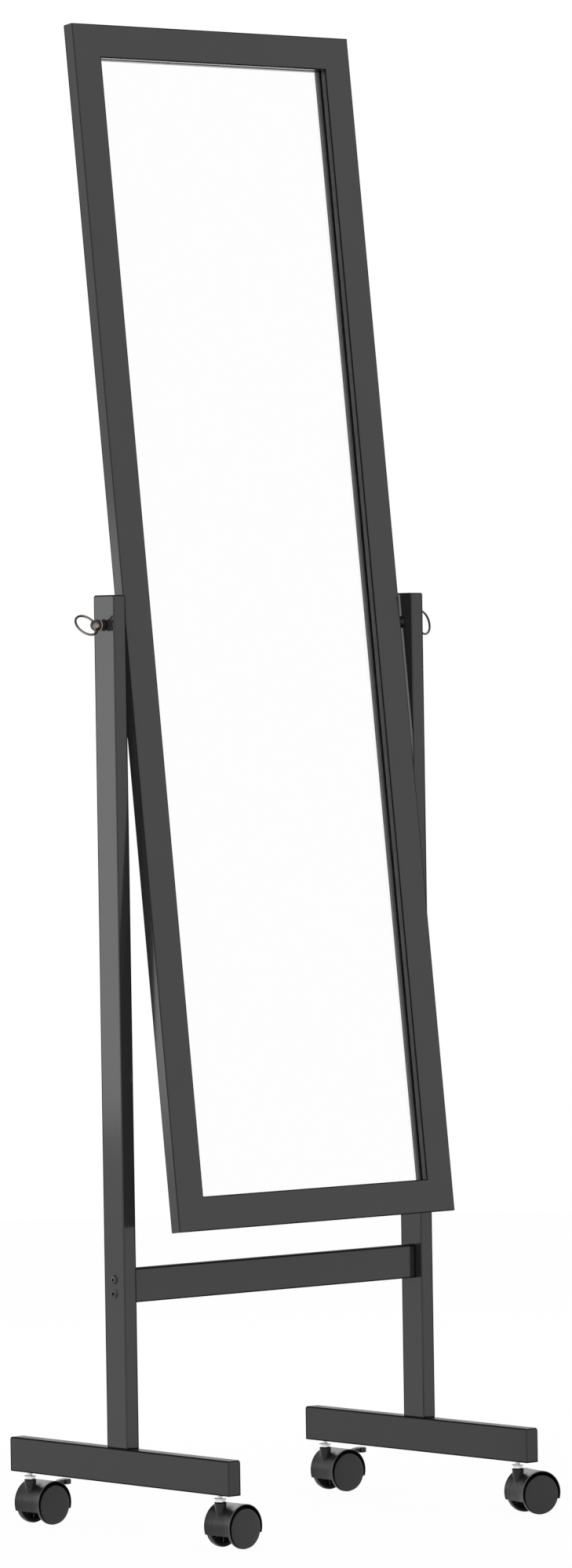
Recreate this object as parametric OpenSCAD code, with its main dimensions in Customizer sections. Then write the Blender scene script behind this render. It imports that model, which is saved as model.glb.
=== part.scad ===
// Rolling floor mirror: a framed glass that tilts between two uprights on a
// pair of feet, each foot standing on two swivelling twin-wheel casters.
// X runs across the mirror, the glass faces -Y, Z is up and Z = 0 is the floor.

/* [Mirror] */
// Width of the mirror frame
frame_w = 360; // [300:5:500]
// Length of the mirror frame
frame_len = 1200; // [1000:10:1240]
// Thickness of the mirror frame, front to back
frame_t = 13.5; // [12.5:0.5:20]
// Width of the frame's front face
face_w = 33.5; // [32:0.5:50]
// Width of the rebate that holds the glass
lip = 8; // [6:0.5:10]
// Thickness of the glass
glass_t = 3; // [2:0.5:4]
// Thickness of the backing board
backing_t = 3.5; // [2:0.5:4]
// Lean of the mirror as it stands, top to the back
tilt_rest = 6.6; // [0:0.1:20]

/* [Stand] */
// Gap between the frame and each upright
side_gap = 7; // [5:0.5:12]
// Length of each upright above its foot
upright_len = 840; // [820:5:1000]
// Thickness of the uprights and the feet, side to side
post_w = 15.5; // [14:0.5:24]
// Depth of the uprights, front to back
upright_d = 31; // [28:0.5:45]
// Radius of the rounded tops of the uprights
post_round = 2.5; // [1:0.5:5]
// Length of each foot, front to back
foot_len = 340; // [300:5:460]
// Height of each foot
foot_h = 34.5; // [30:0.5:45]
// Radius of the upper corners of the feet
foot_round = 3; // [1:0.5:6]
// Radius of the lower corners of the feet
foot_heel = 1; // [0.5:0.5:3]
// Height of the crossbar's lower edge above the feet
bar_rise = 143; // [60:1:150]
// Height of the crossbar
bar_h = 33.5; // [30:0.5:40]
// Thickness of the crossbar
bar_t = 12.5; // [10:0.5:20]
// Distance of the pivot below the tops of the uprights
pivot_drop = 29.5; // [20:0.5:34]

/* [Pivot knobs] */
// Diameter of the knob's smooth shoulder
shoulder_d = 9; // [8:0.5:11]
// Diameter of the knob's threaded end
thread_d = 6; // [5:0.5:6.5]
// Length of the knob's threaded end
thread_len = 14; // [12:0.5:18]
// Diameter of the knob's collar
collar_d = 12; // [12:0.5:18]
// Thickness of the knob's collar
collar_t = 2; // [1:0.25:2.25]
// Diameter of the knob's ball
ball_d = 11.5; // [11:0.5:14]
// Outer diameter of the pull ring
ring_d = 26.5; // [26:0.5:36]
// Diameter of the pull ring's wire
ring_wire = 2.3; // [1.8:0.1:2.6]
// How far the left knob is screwed out
left_slack = 5.5; // [0:0.5:6]
// How far the right knob is screwed out
right_slack = 0; // [0:0.5:6]
// Slope of the left ring's eye above the level
left_eye = 50; // [0:1:180]
// Slope of the right ring's eye above the level
right_eye = 76; // [0:1:180]
// Swing of the right ring towards the back
right_swing = 15; // [0:1:30]

/* [Casters] */
// Diameter of the wheels
wheel_d = 40; // [36:1:50]
// Width of each wheel's tread
wheel_w = 6.5; // [5.5:0.5:9]
// Width of a caster's hood, which the wheels stand a little proud of
caster_w = 35.5; // [34:0.5:44]
// Thickness of the hood's wall
hood_wall = 1.5; // [1.3:0.1:2.5]
// Distance from the swivel's axis back to the axle
trail = 16.5; // [15:0.5:20]
// Diameter of the hood's neck
neck_d = 12; // [11.4:0.2:13]
// Height of the neck's top above the top of the wheels
neck_rise = 6; // [5:0.5:9]
// Diameter of the axles
axle_d = 4; // [3:0.5:5]
// Diameter of the threaded stems
stem_d = 5; // [4:0.5:6]
// Thickness of the stem's hexagon
hex_t = 2.4; // [2:0.1:4]
// Length of bare stem between its plate and the foot
stem_bare = 3.4; // [1:0.1:10]
// Distance of a stem from the end of its foot
stem_inset = 22; // [14:0.5:40]

/* [Hidden] */
$fn = 48;

// Clearances: a snug fit in one body, a turning fit, a gap between moving faces
snug = 0.03;
turning = 0.06;
gap = 0.3;
// Room for the glass at the edges of its rebate
glass_edge = 1;

// Heights and places that follow from the sizes above
wheel_r = wheel_d / 2;
neck_z = wheel_d + neck_rise;
hex_z = neck_z + gap;
plate_z = hex_z + hex_t;
plate_t = 1.2;
foot_z = plate_z + plate_t + stem_bare;
foot_top = foot_z + foot_h;
pivot_z = foot_top + upright_len - pivot_drop;
inner_x = frame_w / 2 + side_gap;
outer_x = inner_x + post_w;
post_x = inner_x + post_w / 2;
stem_y = foot_len / 2 - stem_inset;
bar_z = foot_top + bar_rise;

// Mirror panel, in the frame's own lean
glass_front = frame_t / 2 - backing_t - glass_t;
open_w = frame_w - 2 * face_w;
open_len = frame_len - 2 * face_w;
panel_w = open_w + 2 * (lip - glass_edge);
panel_len = open_len + 2 * (lip - glass_edge);
dowel_d = 5;
dowel_len = 18;
dowel_steps = [14, 28];
clip_len = 20;
clip_w = 9;
clip_t = 1;
clip_over = 8;
clip_screw_d = 2.5;
clip_screw_len = 7;
clip_head_d = 5.5;
clip_head_t = 1.6;
clip_screw_x = (clip_len - clip_over) / 2;
clip_step_z = frame_len / 4;
clip_step_x = frame_w / 2;

// Screws of the stand
screw_d = 4;
screw_len = 45;
head_d = 9.5;
head_t = 2.2;
bar_screw_step = bar_h - 2 * 9.75;
foot_screw_step = upright_d - 2 * 7.75;
foot_screw_len = foot_h + 28;
countersink = 2.6;

// Pivot pieces
bush_d = shoulder_d + 3;
spacer_len = side_gap - gap;
insert_d = thread_d + 3;
insert_len = thread_len + 2;
ball_z = collar_t + ring_wire / 2 + 1.15;
eye_r = ring_wire / 2 + 0.25;
ring_r = (ring_d - ring_wire) / 2;

// Caster pieces
socket_d = stem_d + 3;
socket_len = 14;
stem_in_foot = 26;
stem_in_neck = 15;
neck_low_d = stem_d + 2;
neck_mid_d = neck_d - 2;
neck_taper = 9;
hex_d = stem_d + 5.5;
plate_d = stem_d + 7.5;
web_w = 14;
boss_r = wheel_r * 0.45;
well_r = wheel_r + 0.9;
mouth_cut = 0.8;
hood_lift = 1.4;
hood_r = well_r + hood_wall;
nose_edge = -7.2;
rear_edge = -4.4;
wheel_out = caster_w / 2 + 0.6;
wheel_wall = 2.5;
wheel_rim = 4;
wheel_hub = 5;
edge_cut = 1.2;
axle_half = wheel_out - 3.5;

// Brake lever, from the axle: its pin, its locking bar and its sweep
brake_pin_d = 3;
brake_bar_d = 3;
lever_w = 7.6;
pad_w = 11;
pad_len = 9;
pad_t = 5.5;
pad_round = 3.5;
brake_x = wheel_r * 0.575;
brake_z = wheel_r * 0.775;
bar_x = wheel_r * 0.3;
bar_up = wheel_r * 0.575;
lever_top = neck_z - wheel_r - 3.6;
lever_end = wheel_r + 15.4;
pad_x = lever_end - pad_len;
slot_w = lever_w + 0.8;

// Caster places: name, side, end, turn of the caster as it stands, has a brake
CORNERS = [
    ["front_left", -1, -1, 3.5, false],
    ["front_right", 1, -1, -11, false],
    ["rear_left", -1, 1, 3.5, true],
    ["rear_right", 1, 1, -2, true]
];
FIXED = [
    "left_upright", "right_upright", "left_foot", "right_foot", "crossbar",
    "left_crossbar_screws", "right_crossbar_screws",
    "left_foot_screws", "right_foot_screws",
    "left_pivot_bush", "right_pivot_bush",
    "left_pivot_spacer", "right_pivot_spacer"
];
MIRROR = [
    "left_stile", "right_stile", "top_rail", "bottom_rail", "mirror_glass",
    "backing_board", "backing_clips", "clip_screws", "corner_dowels",
    "left_threaded_insert", "right_threaded_insert"
];
KNOBS = ["left_knob", "right_knob", "left_ring", "right_ring"];
CASTER = ["_socket", "_stem", "_hood", "_axle", "_outer_wheel", "_inner_wheel"];
BRAKE = ["_brake_lever", "_brake_pin"];

paint = "#2a2a2b";
bronze = "#7b6148";
plastic = "#3b3b3d";
nylon = "#1d1d1e";
steel = "#c9ccd0";

// ---------- shared shapes ----------

// A bar along Y with rounded corners, seen from the side
module side_outline(length, height, round_low, round_high) {
    translate([-length / 2 + round_low, 0]) square([length - 2 * round_low, height / 2]);
    translate([-length / 2, round_low]) square([length, height - round_low - round_high]);
    translate([-length / 2 + round_high, height / 2])
        square([length - 2 * round_high, height / 2]);
    for (s = [-1, 1]) {
        if (round_low > 0)
            translate([s * (length / 2 - round_low), round_low]) circle(r = round_low);
        translate([s * (length / 2 - round_high), height - round_high])
            circle(r = round_high);
    }
}

// Stands a side outline up across X, centred on X
module across_x(width) {
    rotate([90, 0, 90]) linear_extrude(width, center = true) children();
}

// Extrudes a shape drawn in X and Z along Y, centred on Y
module along_y(width) {
    rotate([90, 0, 0]) linear_extrude(width, center = true) children();
}

// A round bar along X from x = from to x = from + length
module rod_x(d, length, from = 0) {
    translate([from, 0, 0]) rotate([0, 90, 0]) cylinder(d = d, h = length);
}

// ---------- stand ----------

module crossbar_screw_places() {
    for (s = [-1, 1])
        translate([0, 0, bar_z + bar_h / 2 + s * bar_screw_step / 2]) children();
}

module foot_screw_places(side) {
    for (s = [-1, 1])
        translate([side * post_x, s * foot_screw_step / 2, foot_z]) children();
}

module upright(side) {
    color(paint)
        difference() {
            translate([side * post_x, 0, foot_top])
                across_x(post_w) side_outline(upright_d, upright_len, 0, post_round);
            translate([0, 0, pivot_z])
                mirror([side < 0 ? 1 : 0, 0, 0]) rod_x(bush_d + 2 * snug, post_w + 2, inner_x - 1);
            crossbar_screw_places()
                mirror([side < 0 ? 1 : 0, 0, 0]) rod_x(screw_d + 2 * snug, post_w + 2, inner_x - 1);
            foot_screw_places(side)
                cylinder(d = screw_d + 2 * snug, h = foot_screw_len + 1);
        }
}

module foot(side) {
    color(paint)
        difference() {
            translate([side * post_x, 0, foot_z])
                across_x(post_w) side_outline(foot_len, foot_h, foot_heel, foot_round);
            foot_screw_places(side) {
                translate([0, 0, -1]) cylinder(d = screw_d + 2 * snug, h = foot_h + 2);
                translate([0, 0, -snug])
                    cylinder(d1 = head_d + 2 * snug, d2 = screw_d, h = countersink + 2 * snug);
            }
            for (s = [-1, 1])
                translate([side * post_x, s * stem_y, foot_z]) {
                    translate([0, 0, -1]) cylinder(d = socket_d + 2 * snug, h = socket_len + 1);
                    cylinder(d = stem_d + 2 * snug, h = stem_in_foot + 1);
                }
        }
}

module crossbar() {
    color(paint)
        difference() {
            translate([-inner_x, -bar_t / 2, bar_z]) cube([2 * inner_x, bar_t, bar_h]);
            for (side = [0, 1])
                crossbar_screw_places()
                    mirror([side, 0, 0])
                        rod_x(screw_d + 2 * snug, screw_len + 1, outer_x - screw_len - snug);
        }
}

module crossbar_screws(side) {
    color(bronze)
        crossbar_screw_places()
            mirror([side < 0 ? 1 : 0, 0, 0]) {
                rod_x(screw_d, screw_len, outer_x - screw_len);
                translate([outer_x, 0, 0])
                    rotate([0, 90, 0])
                        rotate_extrude()
                            intersection() {
                                square([head_d / 2, head_t]);
                                translate([0, head_t - head_d * 0.8]) circle(r = head_d * 0.8);
                            }
            }
}

module foot_screws(side) {
    color(steel)
        foot_screw_places(side) {
            cylinder(d = screw_d, h = foot_screw_len);
            cylinder(d1 = head_d, d2 = screw_d, h = countersink);
        }
}

module pivot_bush(side) {
    color(nylon)
        translate([0, 0, pivot_z])
            mirror([side < 0 ? 1 : 0, 0, 0])
                difference() {
                    rod_x(bush_d, post_w, inner_x);
                    rod_x(shoulder_d + 2 * turning, post_w + 2, inner_x - 1);
                }
}

// The spacer lies against the upright and fills the gap up to the stile
module pivot_spacer(side) {
    color(steel)
        translate([0, 0, pivot_z])
            mirror([side < 0 ? 1 : 0, 0, 0])
                difference() {
                    rod_x(bush_d, spacer_len, inner_x - spacer_len);
                    rod_x(shoulder_d + 2 * turning, spacer_len + 2, inner_x - spacer_len - 1);
                }
}

// ---------- mirror ----------

// Moves a shape from the frame's own lean to where it stands
module leaning() {
    translate([0, 0, pivot_z]) rotate([-tilt_rest, 0, 0]) children();
}

// A box centred on X and Z, from y = low to y = high
module panel(width, length, low, high) {
    translate([-width / 2, low, -length / 2]) cube([width, high - low, length]);
}

// The four joined sides, before the mitre cuts
module frame_ring() {
    difference() {
        panel(frame_w, frame_len, -frame_t / 2, frame_t / 2);
        panel(open_w, open_len, -frame_t, frame_t);
        panel(open_w + 2 * lip, open_len + 2 * lip, glass_front, frame_t);
        clip_places() clip_screw_shank(clip_screw_d + 2 * snug, clip_screw_len + 1);
        dowel_places() cylinder(d = dowel_d + 2 * snug, h = dowel_len + 1, center = true);
    }
}

module corner_places() {
    for (sx = [0, 1], sz = [0, 1])
        mirror([sx, 0, 0]) mirror([0, 0, sz])
            translate([frame_w / 2, 0, frame_len / 2]) children();
}

// Dowels cross each mitre at a right angle
module dowel_places() {
    corner_places()
        for (step = dowel_steps)
            rotate([0, 45, 0]) translate([0, 0, -step]) rotate([0, 90, 0]) children();
}

// Each clip bridges the rebate's edge; its tongue points to the glass
module clip_places() {
    for (sx = [0, 1], z = [-1.5, -0.5, 0.5, 1.5])
        mirror([sx, 0, 0])
            translate([open_w / 2 + lip, frame_t / 2, z * clip_step_z]) children();
    for (sz = [0, 1], x = [-0.5, 0.5])
        mirror([0, 0, sz])
            translate([x * clip_step_x, frame_t / 2, open_len / 2 + lip])
                rotate([0, -90, 0]) children();
}

module clip_screw_shank(d, length) {
    translate([clip_screw_x, 0, 0]) rotate([90, 0, 0]) cylinder(d = d, h = length);
}

// A round bar that runs in from the stile's outer face; over is how far it passes it
module insert_round(side, d, length, over = 0) {
    mirror([side < 0 ? 1 : 0, 0, 0]) rod_x(d, length + over, frame_w / 2 - length);
}

module stile(side) {
    color(paint)
        leaning()
            difference() {
                intersection() {
                    frame_ring();
                    along_y(2 * frame_t)
                        polygon([
                            [side * frame_w / 2, frame_len / 2],
                            [side * (frame_w / 2 - face_w), frame_len / 2 - face_w],
                            [side * (frame_w / 2 - face_w), face_w - frame_len / 2],
                            [side * frame_w / 2, -frame_len / 2]
                        ]);
                }
                insert_round(side, insert_d + 2 * snug, insert_len + snug, 1);
            }
}

module rail(side) {
    color(paint)
        leaning()
            intersection() {
                frame_ring();
                along_y(2 * frame_t)
                    polygon([
                        [-frame_w / 2, side * frame_len / 2],
                        [frame_w / 2, side * frame_len / 2],
                        [frame_w / 2 - face_w, side * (frame_len / 2 - face_w)],
                        [face_w - frame_w / 2, side * (frame_len / 2 - face_w)]
                    ]);
            }
}

module mirror_glass() {
    color("#dfe6ea")
        leaning() panel(panel_w, panel_len, glass_front, glass_front + glass_t);
}

module backing_board() {
    color("#4a3d31")
        leaning() panel(panel_w, panel_len, glass_front + glass_t, frame_t / 2);
}

module backing_clips() {
    color(steel)
        leaning()
            clip_places()
                difference() {
                    translate([-clip_over, 0, -clip_w / 2]) cube([clip_len, clip_t, clip_w]);
                    translate([0, 2, 0]) clip_screw_shank(clip_screw_d + 2 * snug, 4);
                }
}

module clip_screws() {
    color(steel)
        leaning()
            clip_places() {
                translate([0, clip_t, 0])
                    clip_screw_shank(clip_screw_d, clip_screw_len);
                translate([0, clip_t + clip_head_t, 0])
                    clip_screw_shank(clip_head_d, clip_head_t);
            }
}

module corner_dowels() {
    color("#b08d5c")
        leaning() dowel_places() cylinder(d = dowel_d, h = dowel_len, center = true);
}

module threaded_insert(side) {
    color("#b59a5b")
        leaning()
            difference() {
                insert_round(side, insert_d, insert_len);
                insert_round(side, thread_d + 2 * turning, insert_len + 1, 1);
            }
}

// ---------- pivot knobs ----------

function slack(side) = side < 0 ? left_slack : right_slack;
function eye(side) = side < 0 ? left_eye : right_eye;
function swing(side) = side < 0 ? 0 : -right_swing;

// From the knob's own frame, where Z points out of the upright's face, X lies
// along the ring's eye and Z = 0 is the back of the collar
module on_face(side) {
    translate([side * (outer_x + slack(side)), 0, pivot_z])
        rotate([0, side * 90, 0]) rotate([0, 0, side * (eye(side) - 90)]) children();
}

// The eye is as wide as the ring needs at every swing
module ring_eye() {
    translate([0, 0, ball_z])
        rotate([0, 90, 0])
            rotate_extrude()
                difference() {
                    translate([0, -ball_d / 2]) square([ring_r, ball_d]);
                    translate([ring_r, 0]) circle(r = ring_r - eye_r);
                }
}

module knob(side) {
    shoulder_len = post_w + side_gap;
    color(bronze)
        on_face(side) {
            difference() {
                union() {
                    cylinder(d = collar_d, h = collar_t);
                    intersection() {
                        translate([0, 0, ball_z]) sphere(d = ball_d);
                        cylinder(d = 2 * ball_d, h = 2 * ball_d);
                    }
                }
                ring_eye();
            }
            translate([0, 0, -shoulder_len]) cylinder(d = shoulder_d, h = shoulder_len);
            translate([0, 0, -shoulder_len - thread_len]) cylinder(d = thread_d, h = thread_len);
        }
}

module pull_ring(side) {
    color(bronze)
        on_face(side)
            translate([0, 0, ball_z])
                rotate([swing(side), 0, 0])
                    translate([0, 0, ring_r])
                        rotate([90, 0, 0])
                            rotate_extrude() translate([ring_r, 0]) circle(d = ring_wire);
}

// ---------- casters ----------

module at_caster(c) {
    translate([c[1] * post_x, c[2] * stem_y, 0]) rotate([0, 0, c[3]]) children();
}

// From the axle's own frame: X points away from the stem, Y lies along the axle
module at_axle(c) {
    at_caster(c) translate([trail, 0, wheel_r]) children();
}

// A cylinder along the axle, from y = low to y = high
module axle_round(r, low, high) {
    translate([0, high, 0]) rotate([90, 0, 0]) cylinder(r = r, h = high - low);
}

module caster_socket(c) {
    color(steel)
        at_caster(c)
            translate([0, 0, foot_z])
                difference() {
                    cylinder(d = socket_d, h = socket_len);
                    translate([0, 0, -1]) cylinder(d = stem_d + 2 * snug, h = socket_len + 2);
                }
}

module caster_stem(c) {
    color(steel)
        at_caster(c) {
            translate([0, 0, neck_z - stem_in_neck])
                cylinder(d = stem_d, h = foot_z + stem_in_foot - neck_z + stem_in_neck);
            translate([0, 0, hex_z]) cylinder(d = hex_d, h = hex_t, $fn = 6);
            translate([0, 0, plate_z]) cylinder(d = plate_d, h = plate_t);
        }
}

// Everything below the hood's slanted lower edge
module below_hood(width) {
    reach = 2 * hood_r;
    slope = (rear_edge - nose_edge) / 2;
    along_y(width)
        polygon([
            [-reach, nose_edge - slope], [reach, rear_edge + slope],
            [reach, -2 * reach], [-reach, -2 * reach]
        ]);
}

// Each half of the hood is a well for one wheel, wider at its mouth
module wheel_well() {
    mouth = caster_w / 2;
    translate([0, 0, hood_lift])
        rotate([-90, 0, 0]) {
            translate([0, 0, web_w / 2]) cylinder(r = well_r, h = caster_w);
            translate([0, 0, mouth - 2 * mouth_cut])
                cylinder(r1 = well_r, r2 = well_r + mouth_cut, h = 2 * mouth_cut);
        }
}

// The neck stands on the hood's front and narrows down into it
module hood_neck() {
    cylinder(d = neck_low_d, h = neck_z - stem_in_neck);
    translate([0, 0, neck_z - stem_in_neck])
        cylinder(d1 = neck_low_d, d2 = neck_mid_d, h = stem_in_neck - neck_taper);
    translate([0, 0, neck_z - neck_taper])
        cylinder(d1 = neck_mid_d, d2 = neck_d, h = neck_taper);
}

// The shell over both wheels, its neck, and the web between the wheels
module hood_body() {
    difference() {
        union() {
            translate([0, 0, hood_lift]) axle_round(hood_r, -caster_w / 2, caster_w / 2);
            translate([-trail, 0, -wheel_r]) hood_neck();
        }
        below_hood(2 * caster_w);
        for (out = [0, 1])
            mirror([0, out, 0]) wheel_well();
    }
    axle_round(boss_r, -web_w / 2, web_w / 2);
}

// Room for the brake lever and its locking bar
module brake_room() {
    along_y(slot_w)
        polygon([
            [bar_x - 3, bar_up + 1.1], [bar_x + 0.6, bar_up - 3.1],
            [brake_x + 0.5, brake_z - 4.9], [brake_x + 4.5, brake_z - 3.9],
            [wheel_r + 4, brake_z - 1.3], [wheel_r + 10, wheel_r + 10],
            [brake_x - 6.5, wheel_r + 10]
        ]);
    translate([bar_x - 0.4, 0, bar_up + 0.8]) axle_round(brake_bar_d / 2 + 1.7, -web_w, web_w);
    translate([brake_x, 0, brake_z]) axle_round(brake_pin_d / 2 + snug, -web_w, web_w);
}

module caster_hood(c) {
    color(plastic)
        at_axle(c)
            difference() {
                hood_body();
                axle_round(axle_d / 2 + snug, -web_w, web_w);
                translate([-trail, 0, neck_z - wheel_r - stem_in_neck - 0.5])
                    cylinder(d = stem_d + 2 * turning, h = stem_in_neck + 2);
                if (c[4])
                    brake_room();
            }
}

module caster_axle(c) {
    color(steel)
        at_axle(c) axle_round(axle_d / 2, -axle_half, axle_half);
}

// A wheel is a cup with a hub, open towards the web; out is 1 or -1 along the axle
module caster_wheel(c, out) {
    bore = axle_d / 2 + turning;
    hub_face = web_w / 2 + gap;
    rim_face = wheel_out - wheel_w;
    color(nylon)
        at_axle(c)
            mirror([0, out > 0 ? 0 : 1, 0])
                rotate([-90, 0, 0])
                    rotate_extrude()
                        polygon([
                            [0, axle_half + gap], [bore, axle_half + gap], [bore, hub_face],
                            [wheel_hub, hub_face], [wheel_hub, wheel_out - wheel_wall],
                            [wheel_r - wheel_rim, wheel_out - wheel_wall],
                            [wheel_r - wheel_rim, rim_face], [wheel_r - edge_cut, rim_face],
                            [wheel_r, rim_face + edge_cut], [wheel_r, wheel_out - edge_cut],
                            [wheel_r - edge_cut, wheel_out], [0, wheel_out]
                        ]);
}

// The lever's pad from above, with its far corners rounded
module pad_outline() {
    translate([0, -pad_w / 2]) square([pad_len - pad_round, pad_w]);
    translate([0, pad_round - pad_w / 2]) square([pad_len, pad_w - 2 * pad_round]);
    for (s = [-1, 1])
        translate([pad_len - pad_round, s * (pad_w / 2 - pad_round)]) circle(r = pad_round);
}

module brake_lever(c) {
    color(plastic)
        at_axle(c) {
            difference() {
                along_y(lever_w) {
                    translate([brake_x, brake_z]) circle(d = brake_pin_d + 3.8);
                    translate([bar_x, bar_up]) circle(d = brake_bar_d + 1);
                    polygon([
                        [bar_x - 1.4, bar_up + 1.4], [bar_x + 1.2, bar_up - 1.6],
                        [brake_x + 2.4, brake_z - 2.4], [wheel_r + 1.5, lever_top - 4.4],
                        [pad_x + 1, lever_top - 4.4], [pad_x + 1, lever_top - 0.4],
                        [wheel_r + 2.5, lever_top - 0.4], [wheel_r - 0.5, lever_top - 2],
                        [brake_x - 2.6, brake_z + 2.2]
                    ]);
                }
                translate([brake_x, 0, brake_z])
                    axle_round(brake_pin_d / 2 + turning, -lever_w, lever_w);
            }
            translate([pad_x, 0, lever_top - pad_t]) linear_extrude(pad_t) pad_outline();
            translate([bar_x, 0, bar_up])
                axle_round(brake_bar_d / 2, -axle_half + 1.2, axle_half - 1.2);
        }
}

module brake_pin(c) {
    color(steel)
        at_axle(c)
            translate([brake_x, 0, brake_z]) axle_round(brake_pin_d / 2, -web_w / 2, web_w / 2);
}

// ---------- pieces ----------

upright(-1);  // left_upright
upright(1);  // right_upright
foot(-1);  // left_foot
foot(1);  // right_foot
crossbar();
crossbar_screws(-1);  // left_crossbar_screws
crossbar_screws(1);  // right_crossbar_screws
foot_screws(-1);  // left_foot_screws
foot_screws(1);  // right_foot_screws
pivot_bush(-1);  // left_pivot_bush
pivot_bush(1);  // right_pivot_bush
pivot_spacer(-1);  // left_pivot_spacer
pivot_spacer(1);  // right_pivot_spacer
stile(-1);  // left_stile
stile(1);  // right_stile
rail(1);  // top_rail
rail(-1);  // bottom_rail
mirror_glass();
backing_board();
backing_clips();
clip_screws();
corner_dowels();
threaded_insert(-1);  // left_threaded_insert
threaded_insert(1);  // right_threaded_insert
knob(-1);  // left_knob
knob(1);  // right_knob
pull_ring(-1);  // left_ring
pull_ring(1);  // right_ring
for (c = CORNERS) {
    caster_socket(c);
    caster_stem(c);
    caster_hood(c);
    caster_axle(c);
    caster_wheel(c, c[2]);
    caster_wheel(c, -c[2]);
    if (c[4]) brake_lever(c);
    if (c[4]) brake_pin(c);
}
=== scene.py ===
"""Looks of the rolling floor mirror: dressed pieces, finishes, studio and camera.

Shapes are built in millimetres in the object's own frame and are scaled to metres when
a piece is made. X runs across the mirror, the glass faces -Y and Z is up.
"""

import logging
import math
from dataclasses import dataclass
from enum import Enum, IntEnum
from typing import Callable, Iterable, Sequence

import bmesh
import bpy
from mathutils import Matrix, Vector


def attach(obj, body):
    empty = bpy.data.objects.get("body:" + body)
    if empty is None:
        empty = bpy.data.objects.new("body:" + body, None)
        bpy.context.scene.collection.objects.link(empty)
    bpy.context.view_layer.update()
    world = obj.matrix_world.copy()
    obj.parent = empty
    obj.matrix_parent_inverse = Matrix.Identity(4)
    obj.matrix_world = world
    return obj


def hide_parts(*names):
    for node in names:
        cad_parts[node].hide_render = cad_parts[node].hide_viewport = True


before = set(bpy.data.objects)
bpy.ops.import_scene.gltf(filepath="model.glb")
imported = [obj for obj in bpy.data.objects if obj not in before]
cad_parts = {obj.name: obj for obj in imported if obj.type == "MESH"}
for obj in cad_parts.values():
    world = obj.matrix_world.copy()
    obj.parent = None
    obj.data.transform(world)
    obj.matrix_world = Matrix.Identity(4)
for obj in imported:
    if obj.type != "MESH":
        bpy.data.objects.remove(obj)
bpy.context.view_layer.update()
LOG = logging.getLogger("floor_mirror")
MM = 0.001
FLAT_AREA = 60 * MM * MM  # faces larger than this stay flat
LEVEL = 0.99999  # cosine between the normals of faces that lie level
RUB_HIGHLIGHT_ATTR = "rub_and_highlight"  # name of the attribute that says how much rubbing and painted highlight a point has
Point = tuple[float, float]
Colour = tuple[float, float, float, float]
EdgeTest = Callable[[bmesh.types.BMEdge], bool]


# ---------- sizes and options ----------


@dataclass(frozen=True)
class Sizes:
    """The main sizes of the part, in millimetres.

    Attributes:
        frame_w: Width of the mirror's frame.
        frame_len: Length of the frame.
        frame_t: Thickness of the frame.
        face_w: Width of the frame's sides, seen from the front.
        lip: Width of the rebate that holds the glass.
        glass_t: Thickness of the glass.
        backing_t: Thickness of the backing board.
        tilt: How far the mirror leans back, in degrees.
        side_gap: Room between the frame and an upright.
        post_w: Width of the uprights and feet.
        upright_d: Depth of the uprights, front to back.
        upright_len: Length of the uprights.
        foot_len: Length of the feet.
        foot_h: Height of the feet.
        foot_z: Height of the feet's lower faces over the floor.
        bar_z: Height of the crossbar's lower face.
        bar_h: Height of the crossbar itself.
        bar_t: Thickness of the crossbar.
        pivot_z: Height of the pivots.
        wheel_r: Radius of the wheels.
        wheel_w: Width of a wheel.
        caster_w: Width of a caster's hood.
        trail: Distance from a caster's stem to its axle.
        neck_z: Height of the top of a caster's neck.
        neck_d: Diameter of the neck at its top.
        neck_low_d: Diameter of the neck at its foot.
        stem_d: Diameter of a caster's stem.
        stem_inset: Distance of the stems from the ends of the feet.
        stem_in_neck: How deep a stem sits in its neck.
        web_w: Width of the web between a caster's wheels.
    """

    frame_w: float = 360.0
    frame_len: float = 1200.0
    frame_t: float = 13.5
    face_w: float = 33.5
    lip: float = 8.0
    glass_t: float = 3.0
    backing_t: float = 3.5
    tilt: float = 6.6
    side_gap: float = 7.0
    post_w: float = 15.5
    upright_d: float = 31.0
    upright_len: float = 840.0
    foot_len: float = 340.0
    foot_h: float = 34.5
    foot_z: float = 53.3
    bar_z: float = 230.8
    bar_h: float = 33.5
    bar_t: float = 12.5
    pivot_z: float = 898.3
    wheel_r: float = 20.0
    wheel_w: float = 6.5
    caster_w: float = 35.5
    trail: float = 16.5
    neck_z: float = 46.0
    neck_d: float = 12.0
    neck_low_d: float = 7.0
    stem_d: float = 5.0
    stem_inset: float = 22.0
    stem_in_neck: float = 15.0
    web_w: float = 14.0

    @property
    def inner_x(self) -> float:
        """Distance of an upright's inner face from the middle."""
        return self.frame_w / 2 + self.side_gap

    @property
    def outer_x(self) -> float:
        """Distance of an upright's outer face from the middle."""
        return self.inner_x + self.post_w

    @property
    def post_x(self) -> float:
        """Distance of an upright's own middle from the middle."""
        return self.inner_x + self.post_w / 2

    @property
    def foot_top(self) -> float:
        """Height of the feet's upper faces."""
        return self.foot_z + self.foot_h

    @property
    def rebate_x(self) -> float:
        """Distance of the rebate's sides from the mirror's middle."""
        return self.frame_w / 2 - self.face_w + self.lip

    @property
    def rebate_z(self) -> float:
        """Distance of the rebate's ends from the mirror's middle."""
        return self.frame_len / 2 - self.face_w + self.lip

    @property
    def stem_y(self) -> float:
        """Distance of a caster's stem from the middle, front to back."""
        return self.foot_len / 2 - self.stem_inset


SIZE = Sizes()


# ---------- places ----------


def at(x: float, y: float, z: float) -> Matrix:
    """A move to a point."""
    return Matrix.Translation((x, y, z))


def turned(degrees: float, axis: str) -> Matrix:
    """A turn about an axis."""
    return Matrix.Rotation(math.radians(degrees), 4, axis)


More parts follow.
